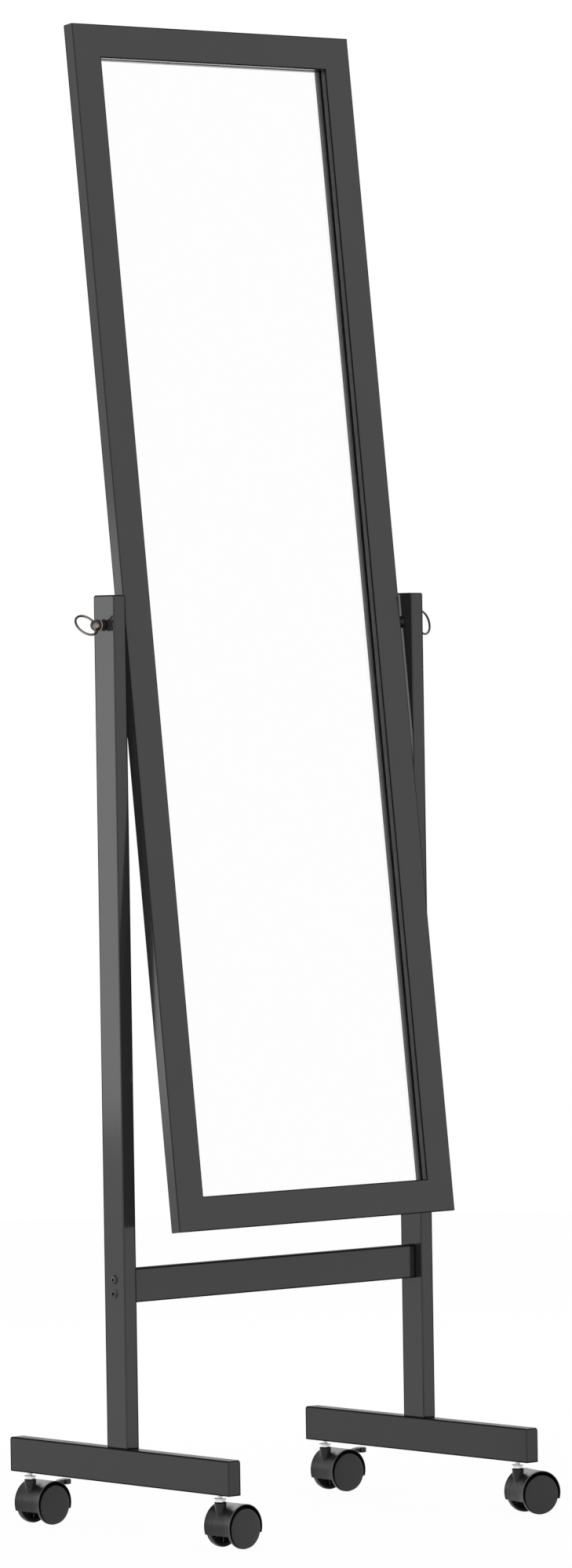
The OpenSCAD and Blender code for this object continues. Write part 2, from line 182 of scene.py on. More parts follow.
def along_x(sign: int, start: float) -> Matrix:
    """Turns Z to point along X, away from the middle, from X = start."""
    return at(sign * start, 0, 0) @ turned(sign * 90, "Y")


Y_AXIS = turned(-90, "X")


class Side(Enum):
    """A side of the stand, as a sign along X."""

    LEFT = -1
    RIGHT = 1

    @property
    def word(self) -> str:
        """The side's name, as the frame's nodes have it."""
        return self.name.lower()


class Corner(Enum):
    """A caster: its side, its end, how far it is turned, and whether it has a brake."""

    FRONT_LEFT = (-1, -1, 3.5, False)
    FRONT_RIGHT = (1, -1, -11.0, False)
    REAR_LEFT = (-1, 1, 3.5, True)
    REAR_RIGHT = (1, 1, -2.0, True)

    @property
    def word(self) -> str:
        """The caster's name, as the frame's nodes have it."""
        return self.name.lower()

    @property
    def end(self) -> int:
        """-1 for a front caster, 1 for a rear one."""
        return self.value[1]

    @property
    def braked(self) -> bool:
        """Whether the caster has a brake lever."""
        return self.value[3]

    def at_stem(self) -> Matrix:
        """Where the stem's axis stands, turned as the caster is."""
        side, end, turn, _ = self.value
        return at(side * SIZE.post_x, end * SIZE.stem_y, 0) @ turned(turn, "Z")

    def at_axle(self) -> Matrix:
        """The axle's own frame: X away from the stem, Y along the axle."""
        return self.at_stem() @ at(SIZE.trail, 0, SIZE.wheel_r)


def leaning() -> Matrix:
    """From the mirror's own lean to where it stands."""
    return at(0, 0, SIZE.pivot_z) @ turned(-SIZE.tilt, "X")


def on_face(side: Side) -> Matrix:
    """A knob's own frame: Z out of the upright's face, X along the ring's eye.

    Args:
        side: The knob's side of the stand. The left knob is screwed out a little.

    Returns:
        The frame.
    """
    slack, eye = (5.5, 50.0) if side is Side.LEFT else (0.0, 76.0)
    place = at(0, 0, SIZE.pivot_z) @ along_x(side.value, SIZE.outer_x + slack)
    return place @ turned(side.value * (eye - 90), "Z")


# ---------- shader graphs ----------


class Socket:
    """A node's output that works in sums like a number."""

    def __init__(self, graph: "Graph", out: bpy.types.NodeSocket) -> None:
        """Wraps the output out of a node in graph."""
        self.graph = graph
        self.out = out

    def _math(self, kind: str, *values: object) -> "Socket":
        """A Math node of that kind on the values."""
        return self.graph.math(kind, *values)

    def __add__(self, other: object) -> "Socket":
        """This plus other."""
        return self._math("ADD", self, other)

    def __radd__(self, other: object) -> "Socket":
        """Other plus this."""
        return self._math("ADD", other, self)

    def __sub__(self, other: object) -> "Socket":
        """This less other."""
        return self._math("SUBTRACT", self, other)

    def __rsub__(self, other: object) -> "Socket":
        """Other less this."""
        return self._math("SUBTRACT", other, self)

    def __mul__(self, other: object) -> "Socket":
        """This times other."""
        return self._math("MULTIPLY", self, other)

    def __rmul__(self, other: object) -> "Socket":
        """Other times this."""
        return self._math("MULTIPLY", other, self)

    def __abs__(self) -> "Socket":
        """This without its sign."""
        return self._math("ABSOLUTE", self)

    def least(self, other: object) -> "Socket":
        """The smaller of this and other."""
        return self._math("MINIMUM", self, other)

    def most(self, other: object) -> "Socket":
        """The larger of this and other."""
        return self._math("MAXIMUM", self, other)

    def step(self, low: float, high: float) -> "Socket":
        """0 below low, 1 above high, smooth between them."""
        return self.graph.node(
            "ShaderNodeMapRange",
            {"Value": self, "From Min": low, "From Max": high},
            interpolation_type="SMOOTHSTEP",
        )


class Graph:
    """The node tree of one material or world."""

    def __init__(self, tree: bpy.types.NodeTree) -> None:
        """Starts the tree empty."""
        self.tree = tree
        tree.nodes.clear()

    def node(
        self, kind: str, inputs: dict[str | int, object], output: str | int = 0, **options: object
    ) -> Socket:
        """Makes a node.

        Args:
            kind: The node's type name.
            inputs: Values or sockets by the input's name or number.
            output: The output to return, by name or number.
            **options: Settings of the node itself.

        Returns:
            The chosen output.
        """
        made = self.tree.nodes.new(kind)
        for name, value in options.items():
            setattr(made, name, value)
        for name, value in inputs.items():
            if isinstance(value, Socket):
                self.tree.links.new(value.out, made.inputs[name])
            else:
                made.inputs[name].default_value = value
        return Socket(self, made.outputs[output] if len(made.outputs) else None)

    def math(self, kind: str, *values: object) -> Socket:
        """A Math node on the values."""
        return self.node("ShaderNodeMath", dict(enumerate(values)), operation=kind)

    def vector(self, kind: str, *values: object) -> Socket:
        """A Vector Math node on the values."""
        return self.node("ShaderNodeVectorMath", dict(enumerate(values)), operation=kind)

    def blend(self, share: object, low: object, high: object) -> Socket:
        """A colour between low and high."""
        inputs = {0: share, 6: low, 7: high}
        return self.node("ShaderNodeMix", inputs, output=2, data_type="RGBA")

    def place(self, stretch: Sequence[float] = (1, 1, 1)) -> Socket:
        """The point on the object, in metres, times stretch."""
        point = self.node("ShaderNodeTexCoord", {}, output="Object")
        if tuple(stretch) == (1, 1, 1):
            return point
        return self.vector("MULTIPLY", point, tuple(stretch))

    def noise(self, point: Socket, scale: float, detail: float = 2.0, rough: float = 0.5) -> Socket:
        """Noise from 0 to 1 about a half."""
        inputs = {"Vector": point, "Scale": scale, "Detail": detail, "Roughness": rough}
        return self.node("ShaderNodeTexNoise", inputs, output="Fac")

    def cells(self, point: Socket, scale: float) -> Socket:
        """Distance to the nearest of scattered points."""
        return self.node("ShaderNodeTexVoronoi", {"Vector": point, "Scale": scale}, output="Distance")

    def parts(self, point: Socket) -> tuple[Socket, Socket, Socket]:
        """The three coordinates of a point."""
        split = self.node("ShaderNodeSeparateXYZ", {"Vector": point})
        outs = split.out.node.outputs
        return split, Socket(self, outs[1]), Socket(self, outs[2])

    def bump(self, height: Socket, depth_mm: float, normal: Socket | None = None) -> Socket:
        """A normal that follows height, which is depth_mm deep."""
        inputs: dict[str | int, object] = {"Height": height, "Distance": depth_mm * MM, "Strength": 1.0}
        if normal is not None:
            inputs["Normal"] = normal
        return self.node("ShaderNodeBump", inputs)

    def soft_edges(self, radius_mm: float) -> Socket:
        """A normal that rounds edges and inner corners off."""
        return self.node("ShaderNodeBevel", {"Radius": radius_mm * MM}, samples=6)

    def surface(self, **inputs: object) -> None:
        """Ends the graph in a Principled shader; a name's _ stands for a space."""
        values = {name.replace("_", " "): value for name, value in inputs.items()}
        shader = self.node("ShaderNodeBsdfPrincipled", values)
        self.node("ShaderNodeOutputMaterial", {"Surface": shader})


def grey(level: float) -> Colour:
    """A neutral colour of that linear level."""
    return (level, level, level, 1.0)


# ---------- finishes ----------


@dataclass(frozen=True)
class Finish:
    """A surface finish: its name and how its nodes are made."""

    name: str

    def dress(self, graph: Graph) -> None:
        """Makes the nodes of the finish."""
        raise NotImplementedError

    def material(self) -> bpy.types.Material:
        """The material of this finish, made once."""
        name = f"finish_{self.name}"
        found = bpy.data.materials.get(name)
        if found:
            return found
        made = bpy.data.materials.new(name)
        made.use_nodes = True
        self.dress(Graph(made.node_tree))
        return made


ALONG_X = (0.03, 1.0, 1.0)
ALONG_Y = (1.0, 0.03, 1.0)
ALONG_Z = (1.0, 1.0, 0.03)


@dataclass(frozen=True)
class Lacquer(Finish):
    """Near-black satin lacquer on wood, with painted shade along the edges: darker and less glossy there,
    less so on the front-left arrises.

    Attributes:
        middle: Centre of the bar that is dressed, in millimetres.
        half: Half of the bar's sides, in millimetres; for a ring, the outer half sizes.
        ring: Width of the sides of a frame, or 0 for a plain bar.
        lean: Lean of the bar about X, in degrees.
        grain: How the wood's grain is stretched along X, Y and Z.
        coat_rough: Roughness of the clear top coat.
        coat: Share of the surface that the top coat covers.
        settled: Share of the top coat that dust hides on the upper face.
        frame_shade_span: Where the painted shade along the frame's arrises starts and ends, in millimetres
            from them.
        bar_shade_span: The same for a plain bar's long arrises.
        end_shade_span: The same for the arrises round its ends.
    """

    middle: tuple[float, float, float] = (0.0, 0.0, 0.0)
    half: tuple[float, float, float] = (10.0, 10.0, 10.0)
    ring: float = 0.0
    lean: float = 0.0
    grain: tuple[float, float, float] = ALONG_Z
    coat_rough: float = 0.16
    coat: float = 1.0
    settled: float = 0.26
    frame_shade_span: Point = (0.55, 1.6)
    bar_shade_span: Point = (0.9, 2.3)
    end_shade_span: Point = (0.7, 2.0)

    @staticmethod
    def _shade_falloff(distance: Socket, span: Point) -> Socket:
        """How strong the painted shade is: 1 at an arris, 0 past the end of the span."""
        return 1.0 - distance.step(span[0] * MM, span[1] * MM)

    def _edge(self, graph: Graph, point: Socket) -> tuple[Socket, Socket]:
        """Finds the painted shade along the arrises, weaker on the front-left ones, and the upper face.

        Args:
            graph: The finish's graph.
            point: The point on the object.

        Returns:
            The painted shade: 1 on an arris and 0 from about two millimetres in; 1 on a plain bar's upper
                face.
        """
        away = graph.vector("SUBTRACT", point, tuple(c * MM for c in self.middle))
        if self.lean:
            away = graph.node(
                "ShaderNodeVectorRotate",
                {"Vector": away, "Angle": math.radians(self.lean)},
                rotation_type="X_AXIS",
            )
        x, y, z = graph.parts(away)
        dx, dy, dz = (h * MM - abs(c) for h, c in zip(self.half, (x, y, z)))
        front_left = x * (1 / self.half[0] / MM) + y * (1 / self.half[1] / MM)
        if self.ring:
            rim = dx.least(dz)
            near = rim.least(self.ring * MM - rim).most(dy)
            # painted shade on the frame is weaker along its front-left arrises
            kept = front_left.step(-1.99, -1.90)
            return self._shade_falloff(near, self.frame_shade_span) * (kept * 0.72 + 0.28), dx * 0.0
        corner = self._shade_falloff(dx.most(dy), self.bar_shade_span)
        border = self._shade_falloff(dx.least(dy).most(dz), self.end_shade_span)
        # painted shade on a bar is weaker along its front-left arris
        kept = front_left.step(-1.8, -1.0)
        upper = z.step((self.half[2] - 0.4) * MM, (self.half[2] - 0.2) * MM)
        return (corner * (kept * 0.8 + 0.2)).most(border), upper

    def dress(self, graph: Graph) -> None:
        """Makes the nodes of the finish."""
        point = graph.place()
        edge, upper = self._edge(graph, point)
        speck = graph.noise(point, 2400, 2.0, 0.6)
        cloud = graph.noise(point, 16, 3.0, 0.6)
        peel = graph.noise(point, 380, 1.5, 0.5)
        grain = graph.noise(graph.place(self.grain), 1100, 4.0, 0.65)
        dust = speck.step(0.60, 0.74)
        mottle = cloud * 0.5 + grain * 0.35 + speck * 0.25 - 0.05
        tone = graph.blend(mottle, grey(0.020), (0.032, 0.032, 0.033, 1))
        tone = graph.blend(dust * 0.35, tone, grey(0.07))
        # painted shade: near-black along the arrises, which also get less top coat
        tone = graph.blend(edge * 0.92, tone, grey(0.002))
        relief = peel * 0.55 + grain * 0.30 + speck * 0.15
        graph.surface(
            Base_Color=tone,
            Roughness=0.55,
            Specular_IOR_Level=0.0,
            Coat_Weight=(1.0 - edge * 0.88 - dust * 0.12 - upper * self.settled) * self.coat,
            Coat_Roughness=self.coat_rough,
            Coat_IOR=1.5,
            Normal=graph.bump(relief, 0.012),
        )


@dataclass(frozen=True)
class Metal(Finish):
    """Metal with a brushed or tarnished surface.

    Attributes:
        bright: Colour of the clean metal.
        dark: Colour of the tarnish.
        tarnish: How much of the surface the tarnish takes, 0 to 1.
        rough: Roughness of the clean metal.
        brush: How the brush marks are stretched along X, Y and Z.
        depth: Depth of the brush marks, in millimetres.
    """

    bright: Colour = (0.75, 0.76, 0.78, 1)
    dark: Colour = (0.30, 0.31, 0.33, 1)
    tarnish: float = 0.3
    rough: float = 0.22
    brush: tuple[float, float, float] = (1.0, 1.0, 1.0)
    depth: float = 0.006

    def dress(self, graph: Graph) -> None:
        """Makes the nodes of the finish."""
        point = graph.place()
        patch = graph.noise(point, 260, 4.0, 0.65)
        fine = graph.noise(point, 1900, 3.0, 0.6)
        lines = graph.noise(graph.place(self.brush), 2600, 2.0, 0.5)
        taken = (0.72 - 0.42 * self.tarnish, 0.80 - 0.20 * self.tarnish)
        stain = (patch * 0.75 + fine * 0.25).step(*taken)
        tone = graph.blend(stain, self.bright, self.dark)
        tone = graph.blend(lines.step(0.35, 0.75) * 0.25, tone, self.dark)
        graph.surface(
            Base_Color=tone,
            Metallic=1.0 - stain * 0.35,
            Roughness=self.rough + stain * 0.22 + fine * 0.08,
            Normal=graph.bump(lines * 0.6 + fine * 0.4, self.depth),
        )


@dataclass(frozen=True)
class AgedBrass(Finish):
    """Darkened brass, bright where rubbing has cleaned it and where a highlight is painted on it.

    Attributes:
        bright: Colour of the metal cleaned by rubbing and of the painted highlight.
        patina: Colour of the darkened metal, which also stands in for shade where no highlight is painted.
    """

    bright: Colour = (0.36, 0.32, 0.27, 1)
    patina: Colour = (0.026, 0.016, 0.017, 1)

    def dress(self, graph: Graph) -> None:
        """Makes the nodes of the finish."""
        point = graph.place()
        rub_and_highlight = graph.node("ShaderNodeAttribute", {}, output="Fac", attribute_name=RUB_HIGHLIGHT_ATTR)
        patch = graph.noise(point, 420, 3.0, 0.65)
        fine = graph.noise(point, 2600, 3.0, 0.6)
        # how bright the brass is: rubbing and painted highlight, broken up by noise
        bright_share = (rub_and_highlight + (patch - 0.5) * 0.5 + (fine - 0.5) * 0.2).step(0.42, 1.05)
        tone = graph.blend(bright_share, self.patina, self.bright)
        tone = graph.blend(fine.step(0.50, 0.72) * 0.3, tone, (0.07, 0.048, 0.042, 1))
        graph.surface(
            Base_Color=tone,
            Metallic=0.30 + bright_share * 0.65,
            Roughness=0.40 - bright_share * 0.18 + patch * 0.08,
            Normal=graph.bump(patch * 0.6 + fine * 0.4, 0.03),
        )


@dataclass(frozen=True)
class Moulded(Finish):
    """Moulded plastic with a fine grain and softened edges.

    Attributes:
        low: Darkest tone, linear.
        high: Lightest tone, linear.
        rough: Roughness of the surface.
        soften: Radius of the softened edges, in millimetres.
        grain: Depth of the grain, in millimetres.
        shine: Strength of the surface's gloss, 0.5 being that of plain plastic.
    """

    low: float = 0.014
    high: float = 0.026
    rough: float = 0.34
    soften: float = 0.5
    grain: float = 0.012
    shine: float = 0.5

    def dress(self, graph: Graph) -> None:
        """Makes the nodes of the finish."""
        point = graph.place()
        cloud = graph.noise(point, 70, 3.0, 0.6)
        fine = graph.noise(point, 2100, 2.0, 0.55)
        pits = graph.cells(point, 1500)
        scuff = graph.noise(graph.place((1, 1, 6)), 240, 4.0, 0.7).step(0.60, 0.78)
        tone = graph.blend(cloud * 0.6 + fine * 0.4, grey(self.low), grey(self.high))
        tone = graph.blend(scuff * 0.12, tone, grey(self.high * 2.2))
        graph.surface(
            Base_Color=tone,
            Roughness=self.rough + scuff * 0.12 + (fine - 0.5) * 0.12,
            IOR=1.5,
            Specular_IOR_Level=self.shine,
            Normal=graph.bump(fine * 0.6 + pits * 0.4, self.grain, graph.soft_edges(self.soften)),
        )


@dataclass(frozen=True)
class ClearGlass(Finish):
    """The mirror's clear float glass, with a faint green in its depth."""

    def dress(self, graph: Graph) -> None:
        """Makes the nodes of the finish."""
        point = graph.place()
        smear = graph.noise(graph.place((1, 1, 0.3)), 30, 4.0, 0.6).step(0.60, 0.85)
        graph.surface(
            Base_Color=graph.blend(smear, (0.995, 1.0, 0.998, 1), (0.985, 0.995, 0.99, 1)),
            Roughness=smear * 0.012,
            IOR=1.5,
            Transmission_Weight=1.0,
            Normal=graph.bump(graph.noise(point, 6, 1.0), 0.002),
        )


@dataclass(frozen=True)
class Silvering(Finish):
    """The silver behind the glass, with faint spots near its edges."""

    def dress(self, graph: Graph) -> None:
        """Makes the nodes of the finish."""
        spots = graph.noise(graph.place(), 90, 5.0, 0.7).step(0.80, 0.92)
        graph.surface(
            Base_Color=graph.blend(spots, (0.985, 0.988, 0.985, 1), (0.80, 0.79, 0.77, 1)),
            Metallic=1.0,
            Roughness=0.004 + spots * 0.05,
        )


@dataclass(frozen=True)
class Hardboard(Finish):
    """Pressed fibre board: brown, matted, with darker fibres in it."""

    def dress(self, graph: Graph) -> None:
        """Makes the nodes of the finish."""
        point = graph.place()
        fibres = graph.noise(graph.place((1, 1, 0.16)), 1500, 5.0, 0.7)
        across = graph.noise(graph.place((0.16, 1, 1)), 1300, 5.0, 0.7)
        cloud = graph.noise(point, 9, 4.0, 0.6)
        mat = fibres.most(across)
        tone = graph.blend(mat.step(0.42, 0.70), (0.050, 0.031, 0.019, 1), (0.150, 0.094, 0.056, 1))
        tone = graph.blend(cloud * 0.45, tone, (0.062, 0.040, 0.026, 1))
        graph.surface(
            Base_Color=tone,
            Roughness=0.62 + mat * 0.22,
            Normal=graph.bump(mat * 0.7 + fibres * 0.3, 0.05),
        )


@dataclass(frozen=True)
class BareWood(Finish):
    """Turned beech dowel, with its grain and pores."""

    def dress(self, graph: Graph) -> None:
        """Makes the nodes of the finish."""
        grain = graph.noise(graph.place((1, 1, 0.2)), 900, 5.0, 0.65)
        pores = graph.noise(graph.place((1, 1, 0.1)), 3200, 3.0, 0.6).step(0.60, 0.72)
        tone = graph.blend(grain.step(0.3, 0.7), (0.36, 0.22, 0.11, 1), (0.55, 0.38, 0.21, 1))
        graph.surface(
            Base_Color=graph.blend(pores * 0.6, tone, (0.20, 0.11, 0.05, 1)),
            Roughness=0.58 + grain * 0.2,
            Normal=graph.bump(grain * 0.6 + pores * 0.4, 0.03),
        )


BRASS = AgedBrass("antique_brass")
SCREW_BRONZE = Metal(
    "screw_bronze",
    bright=(0.120, 0.117, 0.113, 1),
    dark=(0.006, 0.006, 0.006, 1),
    tarnish=0.9,
    rough=0.20,
    depth=0.03,
)
INSERT = Metal("insert_brass", bright=(0.72, 0.55, 0.25, 1), dark=(0.40, 0.29, 0.12, 1), tarnish=0.2)
ZINC = Metal(
    "zinc_steel", bright=(0.66, 0.68, 0.71, 1), dark=(0.36, 0.37, 0.38, 1), tarnish=0.35, rough=0.26
)
BRIGHT = Metal(
    "bright_steel", bright=(0.86, 0.87, 0.88, 1), dark=(0.50, 0.51, 0.52, 1), tarnish=0.12, rough=0.14
)
SPACER = Metal(
    "spacer_steel",
    bright=(0.085, 0.090, 0.100, 1),
    dark=(0.026, 0.028, 0.034, 1),
    tarnish=0.6,
    brush=(1, 0.1, 0.1),
)
PLATED = Metal(
    "plated_steel", bright=(0.93, 0.93, 0.93, 1), dark=(0.62, 0.62, 0.63, 1), tarnish=0.1, rough=0.36
)
HOOD = Moulded("caster_plastic", low=0.014, high=0.022, rough=0.32, soften=0.6, shine=0.26)
# painted highlight for the near rims of the casters' hoods
RIM_HIGHLIGHT = Moulded("rim_highlight_plastic", low=0.050, high=0.075, rough=0.24, soften=0.2)
# painted shade: near-black for the hollows of the casters and the far rims of the hoods
SHADED = Moulded("painted_shade_plastic", low=0.0015, high=0.003, rough=0.60, soften=0.2, shine=0.08)
LEVER = Moulded("lever_plastic", low=0.010, high=0.018, rough=0.30, soften=0.6, shine=0.3)
WHEEL = Moulded("wheel_nylon", low=0.015, high=0.023, rough=0.44, soften=0.2, shine=0.36)
TREAD = Moulded("tread_nylon", low=0.014, high=0.024, rough=0.34, soften=0.3)
BUSH = Moulded("bush_nylon", low=0.004, high=0.008, rough=0.40, soften=0.3, shine=0.12)
GLASS = ClearGlass("clear_glass")
SILVER = Silvering("silvering")
BOARD = Hardboard("hardboard")
DOWEL = BareWood("beech")


# ---------- shapes ----------


class Shape:
    """A mesh in the making, in millimetres."""

    def __init__(self) -> None:
        """Starts empty."""
        self.bm = bmesh.new()

    @classmethod
    def of_node(cls, node: str) -> "Shape":
        """A merged copy of a CAD node, with its flat faces whole."""
        made = cls()
        made.bm.from_mesh(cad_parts[node].data)
        bmesh.ops.scale(made.bm, vec=(1 / MM,) * 3, verts=made.bm.verts)
        bmesh.ops.remove_doubles(made.bm, verts=made.bm.verts, dist=0.002)
        bmesh.ops.dissolve_limit(
            made.bm,
            angle_limit=math.radians(0.2),
            verts=made.bm.verts,
            edges=made.bm.edges,
            use_dissolve_boundaries=False,
        )
        return made

    def _added(self, before: set) -> list:
        """The points that weren't there before."""
        return [v for v in self.bm.verts if v not in before]

    def lathe(self, outline: Iterable[Point], steps: int = 48, place: Matrix | None = None) -> "Shape":
        """Turns an outline of (radius, height) points about Z.

        Args:
            outline: The points, from one end of the axis to the other.
            steps: Faces around.
            place: Where the turned piece goes.

        Returns:
            The shape itself.
        """
        before = set(self.bm.verts)
        line = [self.bm.verts.new((r, 0, h)) for r, h in outline]
        edges = [self.bm.edges.new(pair) for pair in zip(line, line[1:])]
        bmesh.ops.spin(
            self.bm,
            geom=line + edges,
            axis=(0, 0, 1),
            cent=(0, 0, 0),
            angle=math.tau,
            steps=steps,
            use_merge=True,
        )
        made = self._added(before)
        bmesh.ops.remove_doubles(self.bm, verts=made, dist=1e-4)
        made = self._added(before)
        if place is not None:
            bmesh.ops.transform(self.bm, matrix=place, verts=made)
        return self

    def prism(
        self, outline: Sequence[Point], low: float, high: float, place: Matrix | None = None
    ) -> "Shape":
        """Raises an outline in X and Y from Z = low to Z = high."""
        before = set(self.bm.verts)
        face = self.bm.faces.new([self.bm.verts.new((x, y, low)) for x, y in outline])
        raised = bmesh.ops.extrude_face_region(self.bm, geom=[face])["geom"]
        tops = [v for v in raised if isinstance(v, bmesh.types.BMVert)]
        bmesh.ops.translate(self.bm, vec=(0, 0, high - low), verts=tops)
        made = self._added(before)
        if place is not None:
            bmesh.ops.transform(self.bm, matrix=place, verts=made)
        return self

    def box(self, low: Sequence[float], high: Sequence[float], place: Matrix | None = None) -> "Shape":
        """A block between two corners."""
        (x0, y0, z0), (x1, y1, z1) = low, high
        return self.prism([(x0, y0), (x1, y0), (x1, y1), (x0, y1)], z0, z1, place)

    def merge(self, other: "Shape", place: Matrix | None = None) -> "Shape":
        """Adds a copy of another shape."""
        before = set(self.bm.verts)
        mesh = other.mesh()
        self.bm.from_mesh(mesh)
        bpy.data.meshes.remove(mesh)
        if place is not None:
            bmesh.ops.transform(self.bm, matrix=place, verts=self._added(before))
        return self

    def move(self, place: Matrix) -> "Shape":
        """Moves the whole shape."""
        bmesh.ops.transform(self.bm, matrix=place, verts=self.bm.verts)
        return self

    def ease(self, width: float, chosen: EdgeTest, segments: int = 4) -> "Shape":
        """Rounds the edges that are chosen.

        Args:
            width: How far the rounding reaches from the edge.
            chosen: Says of an edge whether it is rounded.
            segments: Faces across the rounding.

        Returns:
            The shape itself.
        """
        self.bm.normal_update()
        edges = [e for e in self.bm.edges if len(e.link_faces) == 2 and chosen(e)]
        bmesh.ops.bevel(
            self.bm,
            geom=edges,
            offset=width,
            offset_type="OFFSET",
            segments=segments,
            profile=0.5,
            affect="EDGES",
            clamp_overlap=True,
            material=-1,
        )
        return self

    def ease_all(self, width: float, least_angle: float = 40, segments: int = 2) -> "Shape":
        """Rounds every edge that is sharper than least_angle degrees."""
        limit = math.radians(least_angle)
        return self.ease(width, lambda e: e.calc_face_angle(0) > limit, segments)

    def cut(self, cutter: "Shape") -> "Shape":
        """Takes the cutter's room out of the shape."""
        tools = []
        for part in (self, cutter):
            bmesh.ops.recalc_face_normals(part.bm, faces=part.bm.faces)
            made = bpy.data.objects.new("cut_tool", part.mesh())
            bpy.context.scene.collection.objects.link(made)
            tools.append(made)
        body, tool = tools
        boolean = body.modifiers.new("cut", "BOOLEAN")
        boolean.operation, boolean.solver, boolean.object = "DIFFERENCE", "EXACT", tool
        bpy.context.view_layer.update()
        evaluated = body.evaluated_get(bpy.context.evaluated_depsgraph_get())
        self.bm.clear()
        self.bm.from_mesh(evaluated.to_mesh())
        evaluated.to_mesh_clear()
        for made in tools:
            mesh = made.data
            bpy.data.objects.remove(made)
            bpy.data.meshes.remove(mesh)
        return self

    def paint(self, number: int, chosen: Callable[[Vector], bool]) -> "Shape":
        """Gives the faces whose middles are chosen the finish of that number."""
        for face in self.bm.faces:
            if chosen(face.calc_center_median()):
                face.material_index = number
        return self

    def paint_rub_and_highlight(self, share: Callable[[bmesh.types.BMVert], float]) -> "Shape":
        """Writes how much rubbing and painted highlight the finish has at each point, 0 to 1."""
        bmesh.ops.recalc_face_normals(self.bm, faces=self.bm.faces)
        self.bm.normal_update()
        layer = self.bm.verts.layers.float.new(RUB_HIGHLIGHT_ATTR)
        for spot in self.bm.verts:
            spot[layer] = share(spot)
        return self

    def _flatten(self) -> None:
        """Keeps large flat faces flat, with what lies level beside them, and smooths the rest."""
        wide = [face for face in self.bm.faces if face.calc_area() > FLAT_AREA]
        flat = set(wide)
        while wide:
            face = wide.pop()
            beside = {other for edge in face.edges for other in edge.link_faces if other not in flat}
            level = [other for other in beside if other.normal.dot(face.normal) > LEVEL]
            flat.update(level)
            wide.extend(level)
        for face in self.bm.faces:
            face.smooth = face not in flat

    def mesh(self) -> bpy.types.Mesh:
        """A mesh of the shape, still in millimetres."""
        made = bpy.data.meshes.new("shape")
        self.bm.to_mesh(made)
        return made

    def piece(
        self,
        name: str,
        body: str,
        finishes: Finish | Sequence[Finish],
        slot: str,
        nodes: Sequence[str] = (),
        sharp: float = 32.0,
    ) -> bpy.types.Object:
        """Makes the shape a piece of the scene, in metres.

        Args:
            name: The piece's name.
            body: The CAD body it rides on.
            finishes: Its finish, or one finish for each material number.
            slot: The record's material slot; not used.
            nodes: The CAD nodes that it stands for.
            sharp: Angle in degrees from which an edge is drawn sharp.

        Returns:
            The object.
        """
        bmesh.ops.scale(self.bm, vec=(MM,) * 3, verts=self.bm.verts)
        bmesh.ops.recalc_face_normals(self.bm, faces=self.bm.faces)
        self._flatten()
        for edge in self.bm.edges:
            edge.smooth = edge.calc_face_angle(0) < math.radians(sharp)
        mesh = self.mesh()
        self.bm.free()
        mesh.name = name
        for finish in [finishes] if isinstance(finishes, Finish) else finishes:
            mesh.materials.append(finish.material())
        made = bpy.data.objects.new(name, mesh)
        bpy.context.scene.collection.objects.link(made)
        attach(made, body)
        if nodes:
            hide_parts(*nodes)
        LOG.info("%s: %d faces on %s", name, len(mesh.polygons), body)
        return made


def dress_node(node: str, finish: Finish) -> None:
    """Gives a CAD node a finish and leaves its shape as it is."""
    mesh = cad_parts[node].data
    mesh.materials.clear()
    mesh.materials.append(finish.material())
    LOG.info("%s: finished as %s", node, finish.name)


def arc(centre: Point, radius: float, start: float, end: float, steps: int = 6) -> list[Point]:
    """Points on an arc, from start to end in degrees."""
    angles = [math.radians(start + (end - start) * i / steps) for i in range(steps + 1)]
    return [(centre[0] + radius * math.cos(a), centre[1] + radius * math.sin(a)) for a in angles]


def cross_recess(screw: Shape, turn: float, low: Sequence[float], high: Sequence[float]) -> Shape:
    """Cuts a cross in a screw's head, one slot at a time.

    Args:
        screw: The screw, upright.
        turn: How far the first slot is turned, in degrees.
        low: Lowest corner of a slot.
        high: Highest corner of a slot.

    Returns:
        The screw itself.
    """
    for spin in (turn, turn + 90):
        screw.cut(Shape().box(low, high, turned(spin, "Z")))
    return screw


# ---------- stand ----------


